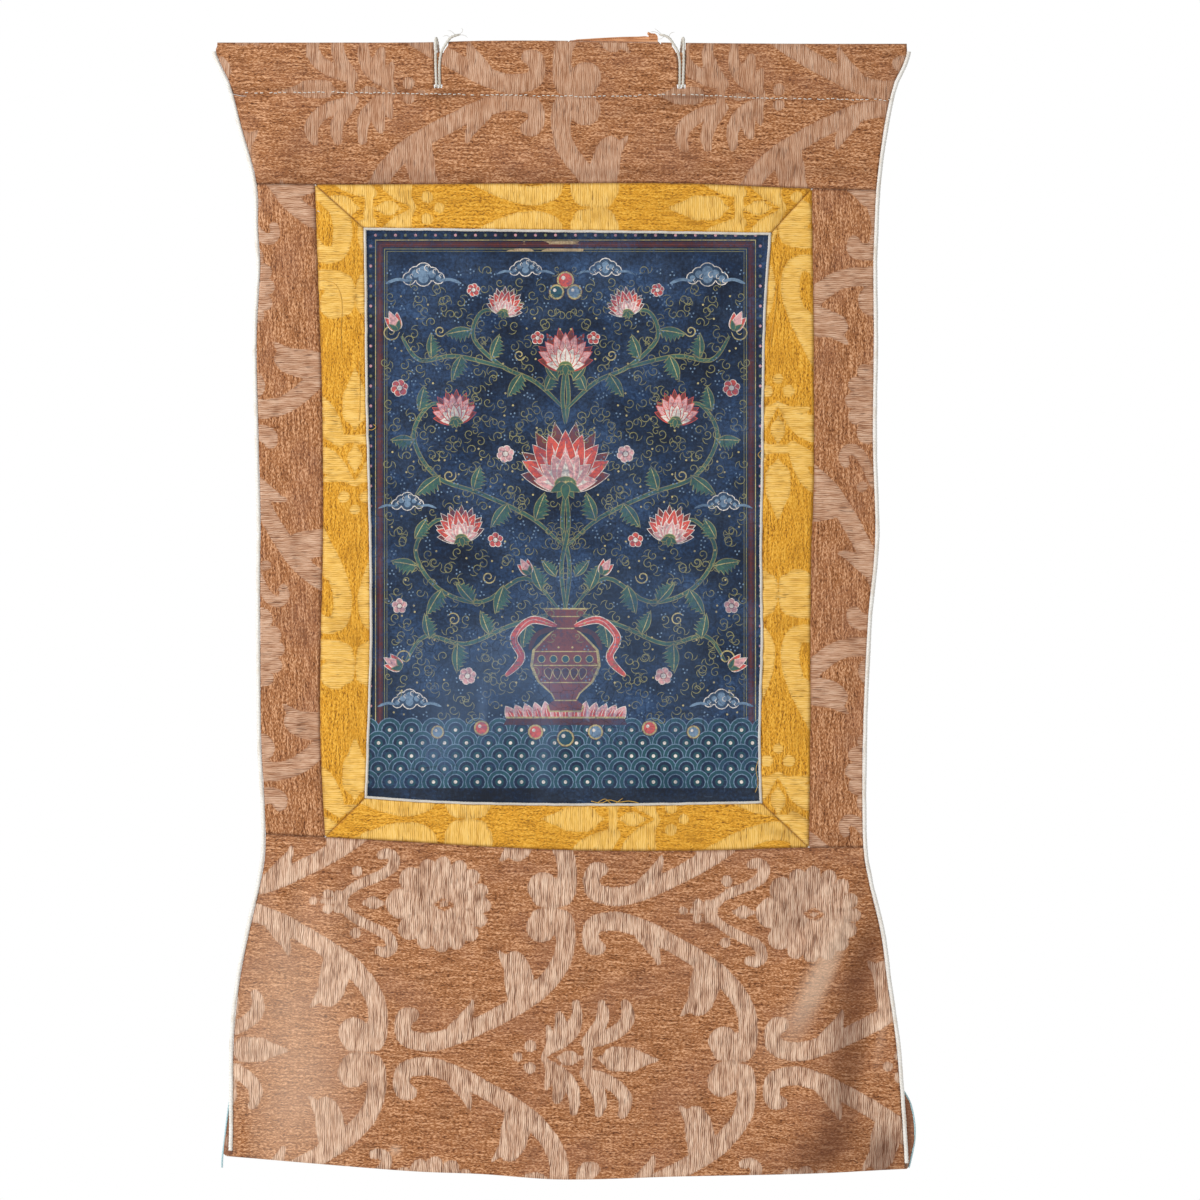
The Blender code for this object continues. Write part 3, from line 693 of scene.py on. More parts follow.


# painted highlight and painted shade of the folds, creases, seams and casing, with a few marks; each row: x,
# z, angle, length, width, paler or darker
headingLightAndMarks = [
    (-30, -134, 1, 420, 9, -0.42), (-180, -112, 0, 60, 30, -0.16), (-262, -104, 90, 40, 46, -0.16),
    (250, -110, 90, 40, 40, -0.10), (-4, -66, 0, 200, 5, -0.16), (-120, -54, 0, 22, 8, -0.5),
    (122, -58, 10, 34, 8, -0.5), (-326, -24, 80, 22, 12, -0.3), (330, -32, 80, 22, 8, -0.35),
    (-200, -30, 0, 120, 16, 0.12), (60, -30, 0, 80, 14, 0.06), (-270, -118, 90, 30, 14, -0.2),
    (0, -5, 0, 400, 3, -0.22), (180, -92, 60, 40, 12, 0.10), (-312, -120, 96, 26, 8, 0.4),
]
stripLightAndMarks = [
    (-275, -260, 90, 60, 30, 0.10), (-268, -330, 90, 60, 20, -0.12), (-280, -470, 90, 50, 20, -0.10),
    (-290, -600, 90, 80, 16, 0.08), (-268, -736, 0, 40, 8, -0.25), (-276, -780, 0, 40, 16, -0.2),
    (276, -240, 90, 60, 30, 0.06), (284, -420, 90, 80, 20, -0.12), (284, -610, 90, 60, 20, -0.06),
    (280, -760, 0, 40, 30, -0.12), (275, -797, 0, 40, 7, -0.4), (-250, -190, 90, 40, 6, -0.3),
]
borderLightAndMarks = [
    (-120, -160, 0, 60, 10, -0.28), (20, -166, 0, 60, 10, -0.24), (120, -160, 0, 40, 8, -0.16),
    (218, -170, 60, 22, 10, -0.34), (-220, -270, 90, 40, 14, 0.05), (-220, -190, 90, 16, 10, -0.32),
    (-218, -590, 90, 60, 16, -0.16), (-212, -330, 90, 40, 12, -0.10), (224, -300, 90, 70, 14, -0.10),
    (226, -520, 90, 60, 14, -0.08), (100, -786, 0, 70, 10, -0.2), (230, -770, -30, 20, 8, -0.5),
    (-60, -790, 0, 60, 10, 0.08), (212, -790, -25, 30, 7, -0.35), (-150, -782, 0, 40, 7, -0.12),
]
footLightAndMarks = [
    (-275, -960, 90, 130, 70, 0.46), (-270, -1085, 60, 90, 60, 0.30), (-200, -830, 0, 90, 14, -0.12),
    (60, -824, 0, 130, 10, -0.2), (246, -840, 40, 60, 20, -0.22), (258, -935, 64, 66, 14, 0.95),
    (298, -932, 72, 92, 18, -0.85), (230, -880, 60, 44, 14, -0.4), (284, -1040, 74, 74, 20, -0.65),
    (318, -990, 78, 60, 8, 0.5), (262, -1112, 30, 60, 22, -0.6), (322, -1116, 70, 26, 16, -1.1),
    (120, -960, 20, 110, 40, -0.12), (150, -1100, 0, 110, 30, -0.14), (-280, -850, 90, 30, 8, -0.2),
    (-168, -1109, 0, 6, 5, 0.7), (-320, -1100, 90, 26, 6, -0.2), (30, -1040, 0, 90, 40, -0.05),
    (40, -1128, 0, 300, 5, -0.12), (-140, -940, 30, 60, 30, 0.08), (200, -1010, 60, 60, 24, 0.14),
]


def wornEnd(x):  # 1 where the fold has worn through
    start, end = slit["worn"]
    return ease((x - start + 3) / 5) * ease((end + 2 - x) / 5)


def makeHeading():
    near, far = slit["worn"]
    left, right = slit["leftX"], slit["rightX"]
    lines = [moved(sideLeft, halfGap), lambda z: left + slitNear(z), lambda z: left + slitFar(z),
             fixed(near), fixed(far), lambda z: right - slitFar(z), lambda z: right - slitNear(z),
             moved(sideRight, -halfGap)]
    counts = [80, 6, 50, 38, 8, 6, 82]
    shares = np.concatenate([i + np.arange(n) / n for i, n in enumerate(counts)] + [[len(counts) - 1e-6]])
    frontRows = int(138 / heading["pitch"])
    half, foldR = cloth["solid"] / 2, cloth["foldR"]
    frontTop = lambda x: topEdge(x) - (foldR + half) * (1 - wornEnd(x)) - 0.3 * wornEnd(x)
    x, z = gridBetween(lines, shares, moved(headingSeam, halfGap), frontTop, np.linspace(0, 1, frontRows))
    depth = casingDepth(x, z) + surface(x, z) + seamDip(z - headingSeam(x))
    parts = [np.stack([x, depth, z], 2)]
    flat = [z]
    turns = np.radians(np.linspace(16, 180, 9))
    topX, topZ = x[-1], z[-1]
    for turn in turns:   # over the lath's top
        height = topEdge(topX) + foldR * (math.sin(turn) - 1) - half
        parts.append(np.stack([topX, lath["y"] - foldR * math.cos(turn) + 0 * topX, height], 1)[None])
        flat.append((topZ + foldR * turn)[None])
    for height in np.linspace(-8, cloth["backEnd"], 22):   # and down behind it
        x, z = gridBetween(lines, shares, fixed(height), fixed(height), np.array([0.0]))
        parts.append(np.stack([x, cloth["backY"] + 0.3 * softNoise(9, x / 30, z / 14), z], 2))
        flat.append(topZ[None] + math.pi * foldR - height + topEdge(x) - 4)
    spots, flat = np.concatenate(parts), np.concatenate(flat)
    x, z = spots[..., 0], spots[..., 2]
    middle = (spots[:-1, :-1] + spots[1:, 1:]) / 2
    middleX, middleZ = middle[..., 0], middle[..., 2]
    part = np.floor((shares[:-1] + shares[1:]) / 2).astype(int)[None, :]
    rowNumber = np.arange(len(spots) - 1)[:, None]
    front, folded = rowNumber < frontRows - 1, rowNumber < frontRows + len(turns) - 1
    inSlit = (part == 1) | (part == 5)
    cut = inSlit & front & (middleZ > slit["bottom"])
    cut |= inSlit & ~front & (middleZ > -12)
    cut |= inSlit & ~folded & (middleZ < -40) & (middleZ > -50)
    fray = softNoise(12, middleX / 3.2, middleZ * 0)
    cut |= (part == 3) & ~front & folded & (rowNumber < frontRows + len(turns) - 3 + fray * 1.4)
    # the figure follows the flat cloth; the casing's stitching takes up a small tuck
    u, v = turnedBack(x - heading["middle"][0], heading["middle"][1] - flat, heading["tilt"])
    overStitches = flat - stitchLine(x)
    tuck = heading["tuck"] * ease((overStitches + 1) / 2)
    # a band of painted shade just under the casing's stitch line, where the tuck is drawn in
    facts = dict(
        figure=figureAt(heading["figureX"] - u, heading["figureY"] + v - tuck),
        tone=lightAndMarksFrom(headingLightAndMarks, x, flat) - 0.42 * np.exp(-((overStitches + 1.6) / 1.8) ** 2),
        edge=np.minimum.reduce([x - sideLeft(z), sideRight(z) - x, flat - headingSeam(x)]) + 0.4,
        fresh=0.2 + 0 * u)
    piece = addCloth("headingCloth", "heading", spots, (u, v), facts, kept=~cut)


def makeStrip(name, node, left, right, sign, middle, startU, startV, tilt, scale):
    rows = int(655 / strips["pitch"])
    x, z = gridBetween([left, right], np.linspace(0, almostAll, strips["columns"]),
                       moved(footSeam, halfGap), moved(headingSeam, -halfGap), np.linspace(0, 1, rows))
    distances = [x - left(z), right(z) - x, z - footSeam(x), headingSeam(x) - z]
    inner = distances[1 if sign > 0 else 0]
    seams = [inner] + distances[2:]
    pucker = 0.5 * softNoise(21, x / 9, z / 4.2) * (1 - ease(inner / 16))
    depth = surface(x, z) + seamDip(*seams) - pucker
    across, along = turnedBack(x - middle[0], middle[1] - z, tilt)
    across, along = across / scale, along / scale
    facts = dict(figure=figureAt(startU + sign * along, startV + across), tone=lightAndMarksFrom(stripLightAndMarks, x, z),
                 edge=np.minimum.reduce(seams), fresh=0.35 + 0 * x)
    piece = addCloth(name, node, np.stack([x, depth, z], 2), (along, across), facts)


def makeStrips():
    makeStrip("leftStripCloth", "side_strip_left", moved(sideLeft, halfGap), moved(outerLeft, -halfGap), 1,
              (-276, -469), 90, 54, -1.5, 0.98)
    makeStrip("rightStripCloth", "side_strip_right", moved(outerRight, halfGap),
              moved(sideRight, -halfGap), -1, (277, -474), 118, 247, 0, 1.0)


def makeBorder():
    room = cord["pipingR"] + cloth["gap"] - 0.5
    outer = dict(left=moved(outerLeft, halfGap), right=moved(outerRight, -halfGap),
                 top=moved(headingSeam, -halfGap), bottom=moved(footSeam, halfGap))
    inner = dict(left=moved(innerLeft, -room), right=moved(innerRight, room),
                 top=moved(windowTop, room), bottom=moved(windowBottom, -room))

    def corner(lines, side, end):
        x, z = 0.0, -500.0
        for _ in range(8):
            x = float(lines[side](z))
            z = float(lines[end](x))
        return x, z

    def mitre(side, end, byX, shift):
        (x0, z0), (x1, z1) = corner(outer, side, end), corner(inner, side, end)
        if byX:
            return lambda x: z0 + (x - x0) * (z1 - z0) / (x1 - x0) + shift
        return lambda z: x0 + (z - z0) * (x1 - x0) / (z1 - z0) + shift

    slant = cloth["gap"] * 0.7
    looks = {  # the way the figure runs, the middle, and where the figure starts
        "left": ("up", -220, -474, 306, 138), "right": ("down", 227, -474, 78, 162),
        "top": ("across", 2, -167, 186, 150), "bottom": ("across", 2, -784, 60, 156),
    }
    for inside, side in ((1, "left"), (0, "right"), (2, "top"), (3, "bottom")):
        upright = side in ("left", "right")
        if upright:
            lines = [outer[side], inner[side]][::1 if side == "left" else -1]
            low, high = mitre(side, "bottom", True, slant), mitre(side, "top", True, -slant)
            columns, rows = border["wideWay"], border["upright"]
        else:
            lines = [mitre("left", side, False, slant), mitre("right", side, False, -slant)]
            low, high = [inner[side], outer[side]][::1 if side == "top" else -1]
            columns, rows = border["across"], border["shortWay"]
        x, z = gridBetween(lines, np.linspace(0, almostAll, columns), low, high, np.linspace(0, 1, rows))
        seams = [x - lines[0](z), lines[1](z) - x, z - low(x), high(x) - z]
        fromPiping = seams.pop(inside)
        along = z if upright else x
        pucker = 0.55 * softNoise(31 + inside, along / 7, along * 0) * np.exp(-(fromPiping - 3) / 9)
        quilt = 0.5 * np.exp(-((fromPiping - 7) / 1.6) ** 2)      # drawn in along the inner stitching
        depth = surface(x, z) + seamDip(*seams) - pucker + quilt + 0.5 * (1 - ease(fromPiping / 3))
        way, middleX, middleZ, startU, startV = looks[side]
        over, down = x - middleX, middleZ - z
        if way == "across":
            figure, u, v = figureAt(startU - over, startV + down), over, down
        else:
            figure, u, v = figureAt(startU + (down if way == "down" else -down), startV + over), down, over
        facts = dict(figure=figure, tone=lightAndMarksFrom(borderLightAndMarks, x, z), edge=np.minimum.reduce(seams),
                     fresh=0.6 + 0 * x)
        spots = np.stack([x, depth, z], 2)
        piece = addCloth(side + "BorderCloth", "border_" + side, spots, (u, v), facts, True)


def makeFoot():
    columns = int(690 / foot["pitch"])
    share = np.linspace(0, 1, columns)[None, :]
    turnR = cloth["hemY"] / 2
    turnZ = cloth["solid"] / 2 + turnR   # the middle of the turn, above the bottom edge

    def front(steps):
        z = np.zeros((len(steps), columns)) - 900
        for _ in range(10):
            x = blend(sideLeft(z) + halfGap, sideRight(z) - halfGap, share)
            z = blend(footSeam(x) - halfGap, bottomEdge(x) + turnZ, steps[:, None])
        return x, z

    def hem(height):
        z = bottomEdge(blend(-330.0, 340.0, share)) + height
        return blend(hemLeft(z), hemRight(z), share), z

    spots, flat = [], []
    for height in np.linspace(cloth["hemHeight"], 4.2, 28):
        x, z = hem(height)
        lift = cloth["hemY"] + 0.4 * softNoise(41, x / 40, z / 22)
        spots.append(np.stack([x, relief(x, z) + lift, z], 2))
        flat.append(bottomEdge(x) - height)
    x0, z0 = front(np.array([1.0]))
    for turn in np.radians(np.linspace(165, 15, 8)):
        height = turnZ - turnR * math.sin(turn)
        x = blend(x0, hem(height)[0], turn / math.pi)
        z = bottomEdge(x0) + height
        spots.append(np.stack([x, relief(x0, z) + turnR - turnR * math.cos(turn), z], 2))
        flat.append(z0 - turnR * turn)
    x, z = front(np.linspace(1, 0, int(328 / foot["pitch"])))
    puckers = 0.5 * softNoise(43, x / 6, z / 60) * np.exp(-(footSeam(x) - z) / 14)
    ripple = 0.5 * softNoise(44, x / 17, z / 40) * np.exp(-(z - bottomEdge(x)) / 26)
    spots.append(np.stack([x, surface(x, z) + seamDip(footSeam(x) - z) - puckers - ripple, z], 2))
    flat.append(z)
    spots, flat = np.concatenate(spots), np.concatenate(flat)
    x = spots[..., 0]
    u, v = turnedBack(x - foot["joint"][0], foot["joint"][1] - flat, foot["tilt"])
    edge = np.minimum(footSeam(x) - flat, np.minimum(x - sideLeft(flat), sideRight(flat) - x) + 0.8)
    facts = dict(figure=figureAt(u, v), tone=lightAndMarksFrom(footLightAndMarks, x, flat), edge=edge, fresh=1 + 0 * x)
    piece = addCloth("footCloth", "foot_panel", spots, (u, v), facts)


def makeEdgeCords():
    reach = cord["edgeR"] + cloth["gap"] * 0.6
    for name, line, sign in (("left", sideLeft, -1), ("right", sideRight, 1)):
        end = float(bottomEdge(line(-1130))) + 6
        z = np.concatenate([np.arange(-11, -66, -1.4), np.linspace(-66, end, 770)])
        slope = (line(z + 2) - line(z - 2)) / 4
        x = line(z) + sign * reach * np.hypot(1, slope) + 0.25 * softNoise(51 + sign, z / 13, z * 0)
        depth = casingDepth(x, z) * (z > -64) + surface(line(z), z)
        tube = tubeMesh(np.stack([x, depth, z], 1), cord["edgeR"] * 1.26, 12, 7.0, 0.22)
        addCords(name + "EdgeCord", [tube], ["edge_cord_" + name], whiteCord)


def makePiping():
    radius = cord["pipingR"]
    reach = radius + halfGap
    for name, line in (("left", innerLeft), ("right", innerRight), ("top", windowTop),
                       ("bottom", windowBottom)):
        upright = name in ("left", "right")
        if upright:
            at = np.linspace(float(windowBottom(line(-760))) + reach - 1,
                             float(windowTop(line(-190))) - reach + 1, 380)
        else:
            at = np.linspace(float(innerLeft(line(-200))) - radius,
                             float(innerRight(line(200))) + radius, 270)
        off = line(at) + 0.2 * softNoise(61 if upright else 62, at / 9, at * 0)
        depth = (surface(line(at), at) if upright else surface(at, line(at))) - 0.25
        route = np.stack([off, depth, at] if upright else [at, depth, off], 1)
        tube = tubeMesh(route, radius * 1.1, 10, 6.5, 0.26)
        addCords(name + "Piping", [tube], ["piping_" + name], pipingCord)


# the painted canvas: a generic lotus vase with scrolls, each shape an outline on one sheet

picture = dict(middle=(2.5, -475.0), halfWide=199.0, halfHigh=285.0, pitch=7.0, thick=1.0)
paints = dict(
    coral=tint(214, 90, 78), pink=tint(228, 170, 170), cream=tint(238, 228, 218), maroon=tint(84, 42, 42),
    brick=tint(124, 62, 56), olive=tint(142, 138, 92), gilt=tint(194, 178, 122), teal=tint(38, 82, 92),
    mist=tint(118, 144, 170), slate=tint(52, 74, 98), ink=tint(16, 24, 38), leaf=tint(62, 100, 88),
    moss=tint(100, 124, 86), navy=tint(24, 40, 66))
drawing = []   # outlines in painting order: points about the canvas's middle, colour


def fill(points, paint):
    spots = np.asarray(points, float)
    x, z = spots.T
    if np.sum(x * np.roll(z, -1) - np.roll(x, -1) * z) < 0:
        spots = spots[::-1]
    drawing.append((spots, paints[paint]))


def placed(points, x, z, angle, size=1.0):
    turn = math.radians(angle)
    spots = np.asarray(points, float) * size
    return np.stack([x + spots[:, 0] * math.cos(turn) - spots[:, 1] * math.sin(turn),
                     z + spots[:, 0] * math.sin(turn) + spots[:, 1] * math.cos(turn)], 1)


def disc(x, z, r, paint, rim=None, squash=1.0):
    count = int(7 + r * 0.8)
    turn = np.arange(count) * 2 * math.pi / count
    ring = np.stack([np.cos(turn), np.sin(turn) * squash], 1)
    if rim:
        fill(ring * (r + 0.7) + (x, z), rim)
    fill(ring * r + (x, z), paint)


def ribbon(points, width, paint, tail=0.35, step=3.0):  # a painted line with thin ends
    spots = np.array(rounded(points, 5))
    run = np.concatenate([[0], np.cumsum(np.hypot(*np.diff(spots, axis=0).T))])
    count = max(4, int(run[-1] / step))
    even = np.linspace(0, run[-1], count)
    spots = np.stack([np.interp(even, run, spots[:, k]) for k in (0, 1)], 1)
    ahead = np.gradient(spots, axis=0)
    ahead /= np.linalg.norm(ahead, axis=1, keepdims=True) + 1e-9
    side = np.stack([-ahead[:, 1], ahead[:, 0]], 1)
    t = np.linspace(0, 1, count)
    half = width / 2 * (tail + (1 - tail) * np.sqrt(np.clip(np.minimum(t, 1 - t) * 5, 0, 1)))[:, None]
    fill(np.concatenate([spots + side * half, (spots - side * half)[::-1]]), paint)


def petalOutline(length, width, grow=0.0, point=0.62):  # along +x, from its foot to its tip
    t = np.linspace(0, 1, 9)
    half = (width / 2 + grow) * np.sin(math.pi * t ** point) ** 0.8
    half[0], half[-1] = width * 0.12, 0.05
    x = t * (length + grow * 1.6) - grow * 0.4
    return np.concatenate([np.stack([x, half], 1), np.stack([x, -half], 1)[::-1]])


def petal(x, z, angle, length, width, body, rim, heart=None):
    fill(placed(petalOutline(length, width, 0.8), x, z, angle), rim)
    fill(placed(petalOutline(length, width), x, z, angle), body)
    if heart:
        fill(placed(petalOutline(length * 0.72, width * 0.5), x, z, angle), heart)
        ribbon(placed([(2, 0), (length * 0.4, 0.3), (length * 0.8, 0)], x, z, angle), 0.7, rim)


def leaf(x, z, angle, length, width, bend=1):  # a cut leaf with lobes on its outer side
    body = []
    for k, t in enumerate(np.linspace(0, 1, 15)):
        swell = math.sin(math.pi * t ** 0.7)
        outer = width * 0.62 * swell * (1 + 0.30 * math.cos(k * math.pi)) + t * t * width * 0.3
        body.append((t * length, bend * outer))
    for t in np.linspace(1, 0, 8)[1:-1]:
        body.append((t * length, bend * (-width * 0.26 * math.sin(math.pi * t) + t * t * width * 0.3)))
    body = np.array(body)
    centre = body.mean(axis=0)
    lie = (x, z, angle)
    fill(placed((body - centre) * (1 + 1.6 / width) + centre, *lie), "olive")
    fill(placed(body, *lie), "leaf")
    spine = [(0, 0), (length * 0.5, bend * width * 0.12), (length * 0.95, bend * width * 0.3)]
    ribbon(placed(spine, *lie), 0.8, "gilt")
    for t in (0.25, 0.45, 0.65):
        vein = [(t * length, bend * width * 0.1), ((t + 0.12) * length, bend * width * 0.42)]
        ribbon(placed(vein, *lie), 0.5, "moss", step=2.0)


def curl(x, z, angle, r, turns, paint, width=0.9, side=1):  # a tendril rolled up at its end
    t = np.linspace(0, 1, 5 + int(turns * 6))
    swing = turns * 2 * math.pi * t
    reach = r * (1 - 0.82 * t)
    spots = np.stack([reach * np.cos(swing) - r, side * reach * np.sin(swing)], 1)
    ribbon(placed(spots, x, z, angle + 90 * side), width, paint, step=2.0)


def lotus(x, z, size, lean=0, body="coral", heart="pink", rim="cream"):
    for angle, reach in ((-78, 0.72), (-54, 0.86), (-30, 0.96), (-10, 1.0), (10, 1.0), (30, 0.96),
                         (54, 0.86), (78, 0.72)):
        petal(x, z, 90 + lean + angle, size * reach, size * 0.34, "brick", rim)
    for angle, reach in ((-62, 0.78), (62, 0.78), (-40, 0.82), (40, 0.82), (-19, 0.84), (19, 0.84),
                         (0, 0.86)):
        petal(x, z, 90 + lean + angle, size * reach, size * 0.36, body, rim, heart)
    for angle in (-84, 84, -52, 52, -24, 24, 0):
        petal(x, z, 90 + lean + angle, size * 0.5, size * 0.27, heart, rim, "cream")
    disc(x, z, size * 0.17, "moss", "gilt", 0.7)
    for k in range(5):
        disc(*placed([(size * 0.045 * (k - 2), size * 0.03)], x, z, lean)[0], size * 0.022, "gilt")
    for angle in (-150, 150, -118, 118, 180):
        petal(x, z, 90 + lean + angle, size * 0.26, size * 0.13, "leaf", "olive")


def bud(x, z, angle, size):
    for turn, reach, paint in ((-22, 0.86, "coral"), (22, 0.86, "coral"), (0, 1, "pink")):
        petal(x, z, angle + turn, size * reach, size * 0.42, paint, "cream")
    for turn in (-34, 34):
        petal(x, z, angle + turn, size * 0.5, size * 0.2, "leaf", "olive")


def rosette(x, z, r, count, body, heart="cream"):
    for k in range(count):
        turn = (k + 0.25) * 2 * math.pi / count
        disc(x + 0.62 * r * math.cos(turn), z + 0.62 * r * math.sin(turn), r * 0.42, body, "cream")
    disc(x, z, r * 0.34, heart, "brick")


def cloud(x, z, size, side=1):
    lobes = [(-1.15, 0, 0.42), (1.1, -0.04, 0.46), (-0.66, 0.3, 0.5), (0.6, 0.34, 0.52),
             (0, 0.52, 0.62), (0, 0, 0.6)]
    for grow, paint in ((0.9, "cream"), (0.0, "slate"), (-2.6, "mist")):
        for a, b, r in lobes:
            if r * size + grow > 1:
                disc(x + side * a * size, z + b * size, r * size + grow, paint)
    for a, b, r in lobes[:5]:
        curl(x + side * a * size + r * size * 0.5, z + b * size, 0, r * size * 0.5, 0.9, "cream", 0.8, side)
    for k in (-1, 1):
        tail = [(x + k * size * a, z - size * b) for a, b in ((1.2, 0.25), (2.0, 0.1), (2.9, 0.42))]
        ribbon(tail, size * 0.24, "mist")


def slab(low, high, lowHalf, highHalf, paint):  # a flat-topped shape about the middle
    fill([(-lowHalf, low), (lowHalf, low), (highHalf, high), (-highHalf, high)], paint)


def waves():
    rings = [(12.4, "mist"), (11.5, "teal"), (8.3, "mist"), (7.4, "navy"), (4.4, "teal"), (1.8, "cream")]
    for row in range(5):
        for x in range(-187 if row % 2 else -198, 199, 22):
            for r, paint in rings:
                disc(x, -214 - row * 13, r, paint)
    slab(-290, -272, 200, 200, "ink")


def vase():
    for k in range(-6, 7):                                   # the lotus foot that it stands on
        petal(k * 8.6, -203, 90 - k * 5.5, 19 - abs(k) * 0.7, 11, "pink", "cream", "coral")
    slab(-209, -201, 62, 58, "maroon")
    slab(-202.4, -200.6, 60, 59, "gilt")
    profile = [(0, -196), (16, -196), (18, -190), (11, -184), (14, -178), (27, -166), (34, -150), (32, -134),
               (20, -121), (12, -114), (11, -104), (18, -98), (22, -92), (0, -92)]
    full = np.array(profile + [(-a, b) for a, b in profile[::-1]])
    fill(full * (1.04, 1.0), "gilt")
    fill((full - (0, -145)) * (0.955, 0.972) + (0, -145), "brick")
    for z, half, tall in ((-150, 33, 1.2), (-136, 31.5, 1.0), (-167, 25, 1.0), (-185, 11, 1.2),
                          (-113, 11.5, 1.2), (-101, 14, 1.0)):
        slab(z, z + tall, half, half, "gilt")
    for x in range(-24, 25, 12):
        disc(x, -143, 3.4, "teal", "gilt")
    for x in range(-18, 19, 9):
        petal(x, -152, -90 - x * 0.6, 11, 7, "maroon", "gilt")
    scarf = [(9, -110), (34, -104), (52, -122), (44, -142), (60, -160)]   # tied round its neck
    for side in (-1, 1):
        for path, width, paint in ((scarf, 8, "cream"), (scarf, 6.4, "coral"),
                                   ([(12, -109), (35, -104), (50, -122), (44, -140)], 1.0, "pink"),
                                   ([(9, -112), (28, -118), (36, -134)], 5, "maroon")):
            ribbon([(side * x, z) for x, z in path], width, paint)

mainVines = [
    [(0, -94), (-4, -50), (3, -10), (0, 30)],
    [(6, -94), (40, -62), (84, -86), (128, -72), (150, -34), (128, -4), (100, -14)],
    [(2, -30), (34, -2), (84, 22), (130, 40), (152, 80), (134, 112), (108, 104)],
    [(0, 92), (-3, 120), (0, 150)],
    [(2, 108), (30, 134), (64, 150), (92, 178), (84, 204), (62, 204)],
    [(8, -96), (56, -110), (100, -128), (140, -120), (160, -146)],
    [(60, 148), (110, 160), (146, 156), (164, 180)],
]
leafPlaces = [  # x, z, angle, length, width, bend
    (24, -74, 60, 26, 15, 1), (62, -70, -64, 28, 16, -1), (92, -86, 40, 26, 14, 1),
    (124, -74, -50, 28, 15, -1), (148, -50, 20, 26, 15, -1), (150, -22, 110, 22, 13, 1),
    (30, -4, 100, 28, 15, 1), (58, 12, -46, 28, 15, -1), (92, 26, 96, 24, 14, 1),
    (126, 40, -30, 30, 15, -1), (152, 76, 10, 22, 14, -1), (146, 106, 92, 24, 13, 1),
    (20, 126, 104, 22, 12, 1), (44, 142, -50, 26, 14, -1), (74, 158, 100, 24, 13, 1),
    (94, 186, 0, 26, 14, -1), (38, -106, -70, 26, 14, -1), (76, -118, 60, 24, 13, 1),
    (108, -128, -80, 28, 15, -1), (136, -122, 70, 24, 13, 1), (104, 160, -60, 26, 14, -1),
    (134, 158, 80, 24, 13, 1), (10, -60, 40, 20, 11, 1), (8, 136, 40, 18, 10, 1),
]
tendrilPlaces = [  # x, z, angle, radius
    (164, -150, 200, 9), (166, 184, 90, 9), (70, -60, 80, 7), (110, 44, 60, 7), (118, -100, 300, 7),
    (40, 160, 100, 6), (120, 182, 120, 6),
]
paleLotus = ("pink", "cream", "coral")
lotusPlaces = [(104, -22, 33, -10), (110, 96, 30, -8, *paleLotus), (62, 204, 25, 14)]   # x, z, size, lean
budPlaces = [(164, -152, 60, 20), (168, 186, 24, 20), (36, -58, 30, 17)]   # x, z, lean, size
cloudPlaces = [(142, 238, 13), (40, 246, 10), (158, 12, 10), (156, -186, 11)]   # x, z, size
rosettePlaces = [  # x, z, radius, petals, paint
    (166, 128, 8, 6, "coral"), (60, 62, 8, 6, "pink"), (70, -24, 7, 5, "coral"), (98, -160, 8, 6, "pink"),
    (28, 178, 6, 5, "coral"), (166, -90, 7, 5, "pink"), (92, 226, 6, 6, "coral"),
]
jewelPlaces = [  # x, z, radius, paint
    (0, 236, 7, "coral"), (-9, 224, 6, "teal"), (9, 224, 6, "mist"), (-30, -216, 6, "coral"),
    (30, -216, 6, "mist"), (0, -222, 7, "teal"), (-84, -212, 6, "coral"), (84, -212, 6, "coral"),
    (-128, -216, 5, "mist"), (128, -216, 5, "mist"),
]


def growVines():
    for side in (-1, 1):
        facing = lambda angle: angle if side > 0 else 180 - angle
        for vine in mainVines:
            mirrored = [(side * x, z) for x, z in vine]
            ribbon(mirrored, 4.4, "olive", 0.5)
            ribbon(mirrored, 2.8, "leaf", 0.5)
        for x, z, angle, length, width, bend in leafPlaces:
            leaf(side * x, z, facing(angle), length, width, bend * side)
        for x, z, angle, r in tendrilPlaces:
            curl(side * x, z, facing(angle), r, 1.4, "gilt", 1.3, side)
        for x, z, size, lean, *colours in lotusPlaces:
            lotus(side * x, z, size, side * lean, *colours)
        for x, z, lean, size in budPlaces:
            bud(side * x, z, 90 - side * lean, size)
        for x, z, size in cloudPlaces:
            cloud(side * x, z, size, side)
        for x, z, r, count, body in rosettePlaces:
            rosette(side * x, z, r, count, body)
    lotus(0, 32, 62)
    lotus(0, 150, 38, 0, *paleLotus)


def jewels():
    for x, z, r, paint in jewelPlaces:
        disc(x, z, r + 1.6, "gilt", "maroon")
        disc(x, z, r, paint)
        disc(x - r * 0.3, z + r * 0.3, r * 0.3, "cream")


def frameLines():
    wide, high = picture["halfWide"], picture["halfHigh"]
    for inset, width, paint in ((8.6, 0.9, "gilt"), (10.6, 5.6, "maroon"), (13.2, 0.6, "brick"),
                                (17.6, 0.8, "olive"), (20.2, 0.5, "olive")):
        a, b = wide - inset, high - inset
        c, d = a - width, b - width
        for corners in ([(-a, b), (a, b), (c, d), (-c, d)], [(-a, -b), (a, -b), (c, -d), (-c, -d)],
                        [(-a, b), (-c, d), (-c, -d), (-a, -b)], [(a, b), (c, d), (c, -d), (a, -b)]):
            fill(corners, paint)
    for last, upright in ((19, False), (27, True)):
        for k in range(-last, last + 1):
            for side in (-1, 1):
                at = (side * (wide - 4.2), k * 10) if upright else (k * 10, side * (high - 4.2))
                disc(*at, 1.5, "pink" if k % 2 else "olive")


